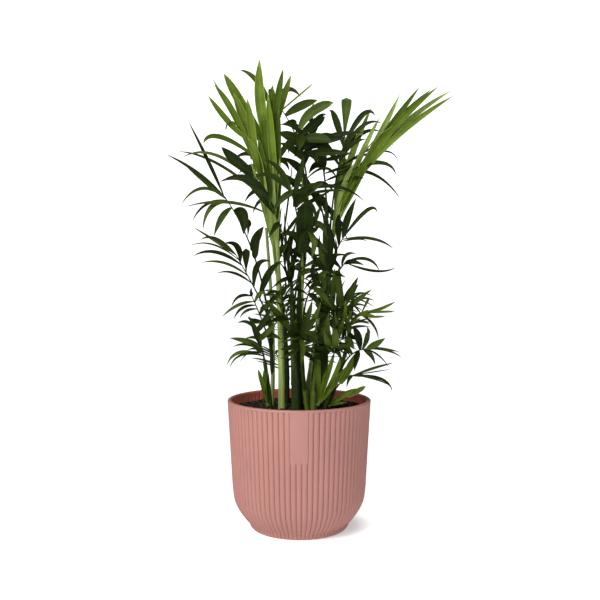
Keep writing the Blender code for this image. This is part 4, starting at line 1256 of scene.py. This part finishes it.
def add_ruled(leaves, name, frond, path, pairs):
    """Leaflets in pairs along the rib, by the rule."""
    for pair in range(pairs):
        rank = pair / max(1, pairs - 1)
        share = frond.bare + (LAST_PAIR - frond.bare) * rank if pairs > 1 else LAST_PAIR
        for hand in (1, -1):
            chance = random.Random(f"{name} {pair} {hand}")
            wobble = [chance.uniform(-1, 1) for _ in range(3)]
            station = station_at(frond, path, share - (HAND_OFFSET if hand > 0 else 0))
            spine = rule_spine(frond, station, rank, hand, wobble)
            width = frond.width * MM * FINE_WIDTH * chance.uniform(*WIDTH_WOBBLE)
            shade = chance.randrange(len(TINTS[frond.tint]))
            add_leaf(leaves[frond.tint], spine, width, frond.tint, shade, chance)


def add_frond(ribs, leaves, name, frond):
    path = frond_path(frond)
    add_rib(ribs, frond, path)
    if name in AIMED:
        add_aimed(leaves, name, frond, path)
    if name in FILLED:
        short = frond._replace(blade=frond.blade * FILLED_LENGTH, width=frond.width * FILLED_LENGTH)
        add_ruled(leaves, name, short, path, frond.pairs)
    elif name not in AIMED:
        add_ruled(leaves, name, frond, path, max(1, round(frond.pairs * FINER)))


def make_fronds():
    ribs = {tint: Sheet() for tint in RIB_TINTS}
    leaves = {tint: Sheet() for tint in TINTS}
    for name, frond in FRONDS.items():
        add_frond(ribs[frond.tint], leaves, name, frond)
    for tint, colours in TINTS.items():
        kind = "young" if tint == "light" else tint
        names = [name for name, frond in FRONDS.items() if frond.tint == kind]
        materials = []
        for i, colour in enumerate(colours):
            materials.append(leaf_material(f"leaf_{tint}_{i}", colour, MARGIN_SHEENS[tint]))
        made = leaves[tint].make(f"leaflets_{tint}", materials)
        dress(made, names)
        if tint in ribs:
            material = stem_material(f"rib_{tint}", RIB_TINTS[tint], RIB_ROUGHNESS)
            dress(ribs[tint].make(f"ribs_{tint}", [material]), names)


# Camera, lights and floor

def make_camera():
    camera = bpy.data.cameras.new("camera")
    camera.lens = CAMERA_LENS
    camera.sensor_width = CAMERA_SENSOR
    camera.shift_x = CAMERA_SHIFT
    made = add_object("camera", camera)
    made.location = CAMERA_PLACE
    made.rotation_euler = (math.radians(90 - CAMERA_PITCH), 0, 0)
    bpy.context.scene.camera = made


def add_lamp(name, place, size, power):
    lamp = bpy.data.lights.new(name, "AREA")
    lamp.size = size
    lamp.energy = power
    made = add_object(name, lamp)
    made.location = place
    made.rotation_euler = (LIGHT_TARGET - Vector(place)).to_track_quat("-Z", "Y").to_euler()


def glow_material(name, colour, glow):
    material, _, shader = new_material(name, colour, STAGE_ROUGHNESS, 0)
    set_inputs(shader, {"Emission Color": (1, 1, 1, 1), "Emission Strength": glow})
    return material


def floor_material():
    """The floor's glow grows with the distance from a place just right of the pot's middle: a painted shadow
    there, over the rendered one.
    """
    material = glow_material("pale_floor", FLOOR_COLOUR, FLOOR_GLOW)
    tree = material.node_tree
    place = add_node(tree, "TexCoord")
    distance = add_node(tree, "VectorMath")
    distance.operation = "DISTANCE"
    distance.inputs[1].default_value = SHADOW_CENTRE
    tree.links.new(place.outputs["Object"], distance.inputs[0])
    values = {"From Min": SHADOW_START, "From Max": SHADOW_END, "To Min": SHADOW_GLOW, "To Max": FLOOR_GLOW}
    glow = add_node(tree, "MapRange", values, {"Value": distance.outputs["Value"]})
    glow.interpolation_type = "SMOOTHSTEP"
    tree.links.new(glow.outputs["Result"], tree.nodes["Principled BSDF"].inputs["Emission Strength"])
    return material


def make_stage():
    floor = Sheet()
    half = FLOOR_SIZE / 2
    floor.add_grid([[(x, y, 0) for x in (-half, half)] for y in (-half, half)], places_around(1, 2, 1), 0)
    made = floor.make("floor", [floor_material()])
    made.visible_glossy = False
    backdrop = Sheet()
    rows = []
    for i in range(BACKDROP_ROWS):
        angle = math.pi * (i + 0.5) / BACKDROP_ROWS
        size = BACKDROP_RADIUS * math.sin(angle)
        height = BACKDROP_RADIUS * math.cos(angle)
        rows.append([polar(size, math.tau * j / BACKDROP_COLUMNS, height) for j in range(BACKDROP_COLUMNS)])
    places = places_around(BACKDROP_COLUMNS, BACKDROP_ROWS, BACKDROP_ROWS)
    start = backdrop.add_grid(rows, places, 0, closed=True)
    backdrop.add_fan(ring(start, BACKDROP_COLUMNS), (0, 0, BACKDROP_RADIUS), 0)
    made = backdrop.make("backdrop", [glow_material("pale_backdrop", BACKDROP_COLOUR, BACKDROP_GLOW)])
    made.visible_diffuse = False
    made.visible_glossy = False
    made.visible_transmission = False
    made.visible_shadow = False


def make_light():
    world = bpy.data.worlds.new("room")
    world.use_nodes = True
    set_inputs(world.node_tree.nodes["Background"], {"Color": (1, 1, 1, 1), "Strength": ROOM_LIGHT})
    world.cycles_visibility.glossy = False
    bpy.context.scene.world = world
    add_lamp("key", KEY_PLACE, KEY_SIZE, KEY_POWER)
    add_lamp("fill", FILL_PLACE, FILL_SIZE, FILL_POWER)
    bpy.context.scene.view_settings.view_transform = "Standard"


make_camera()
make_stage()
make_light()
make_pot()
make_bed()
make_crumbs()
make_canes()
make_fronds()
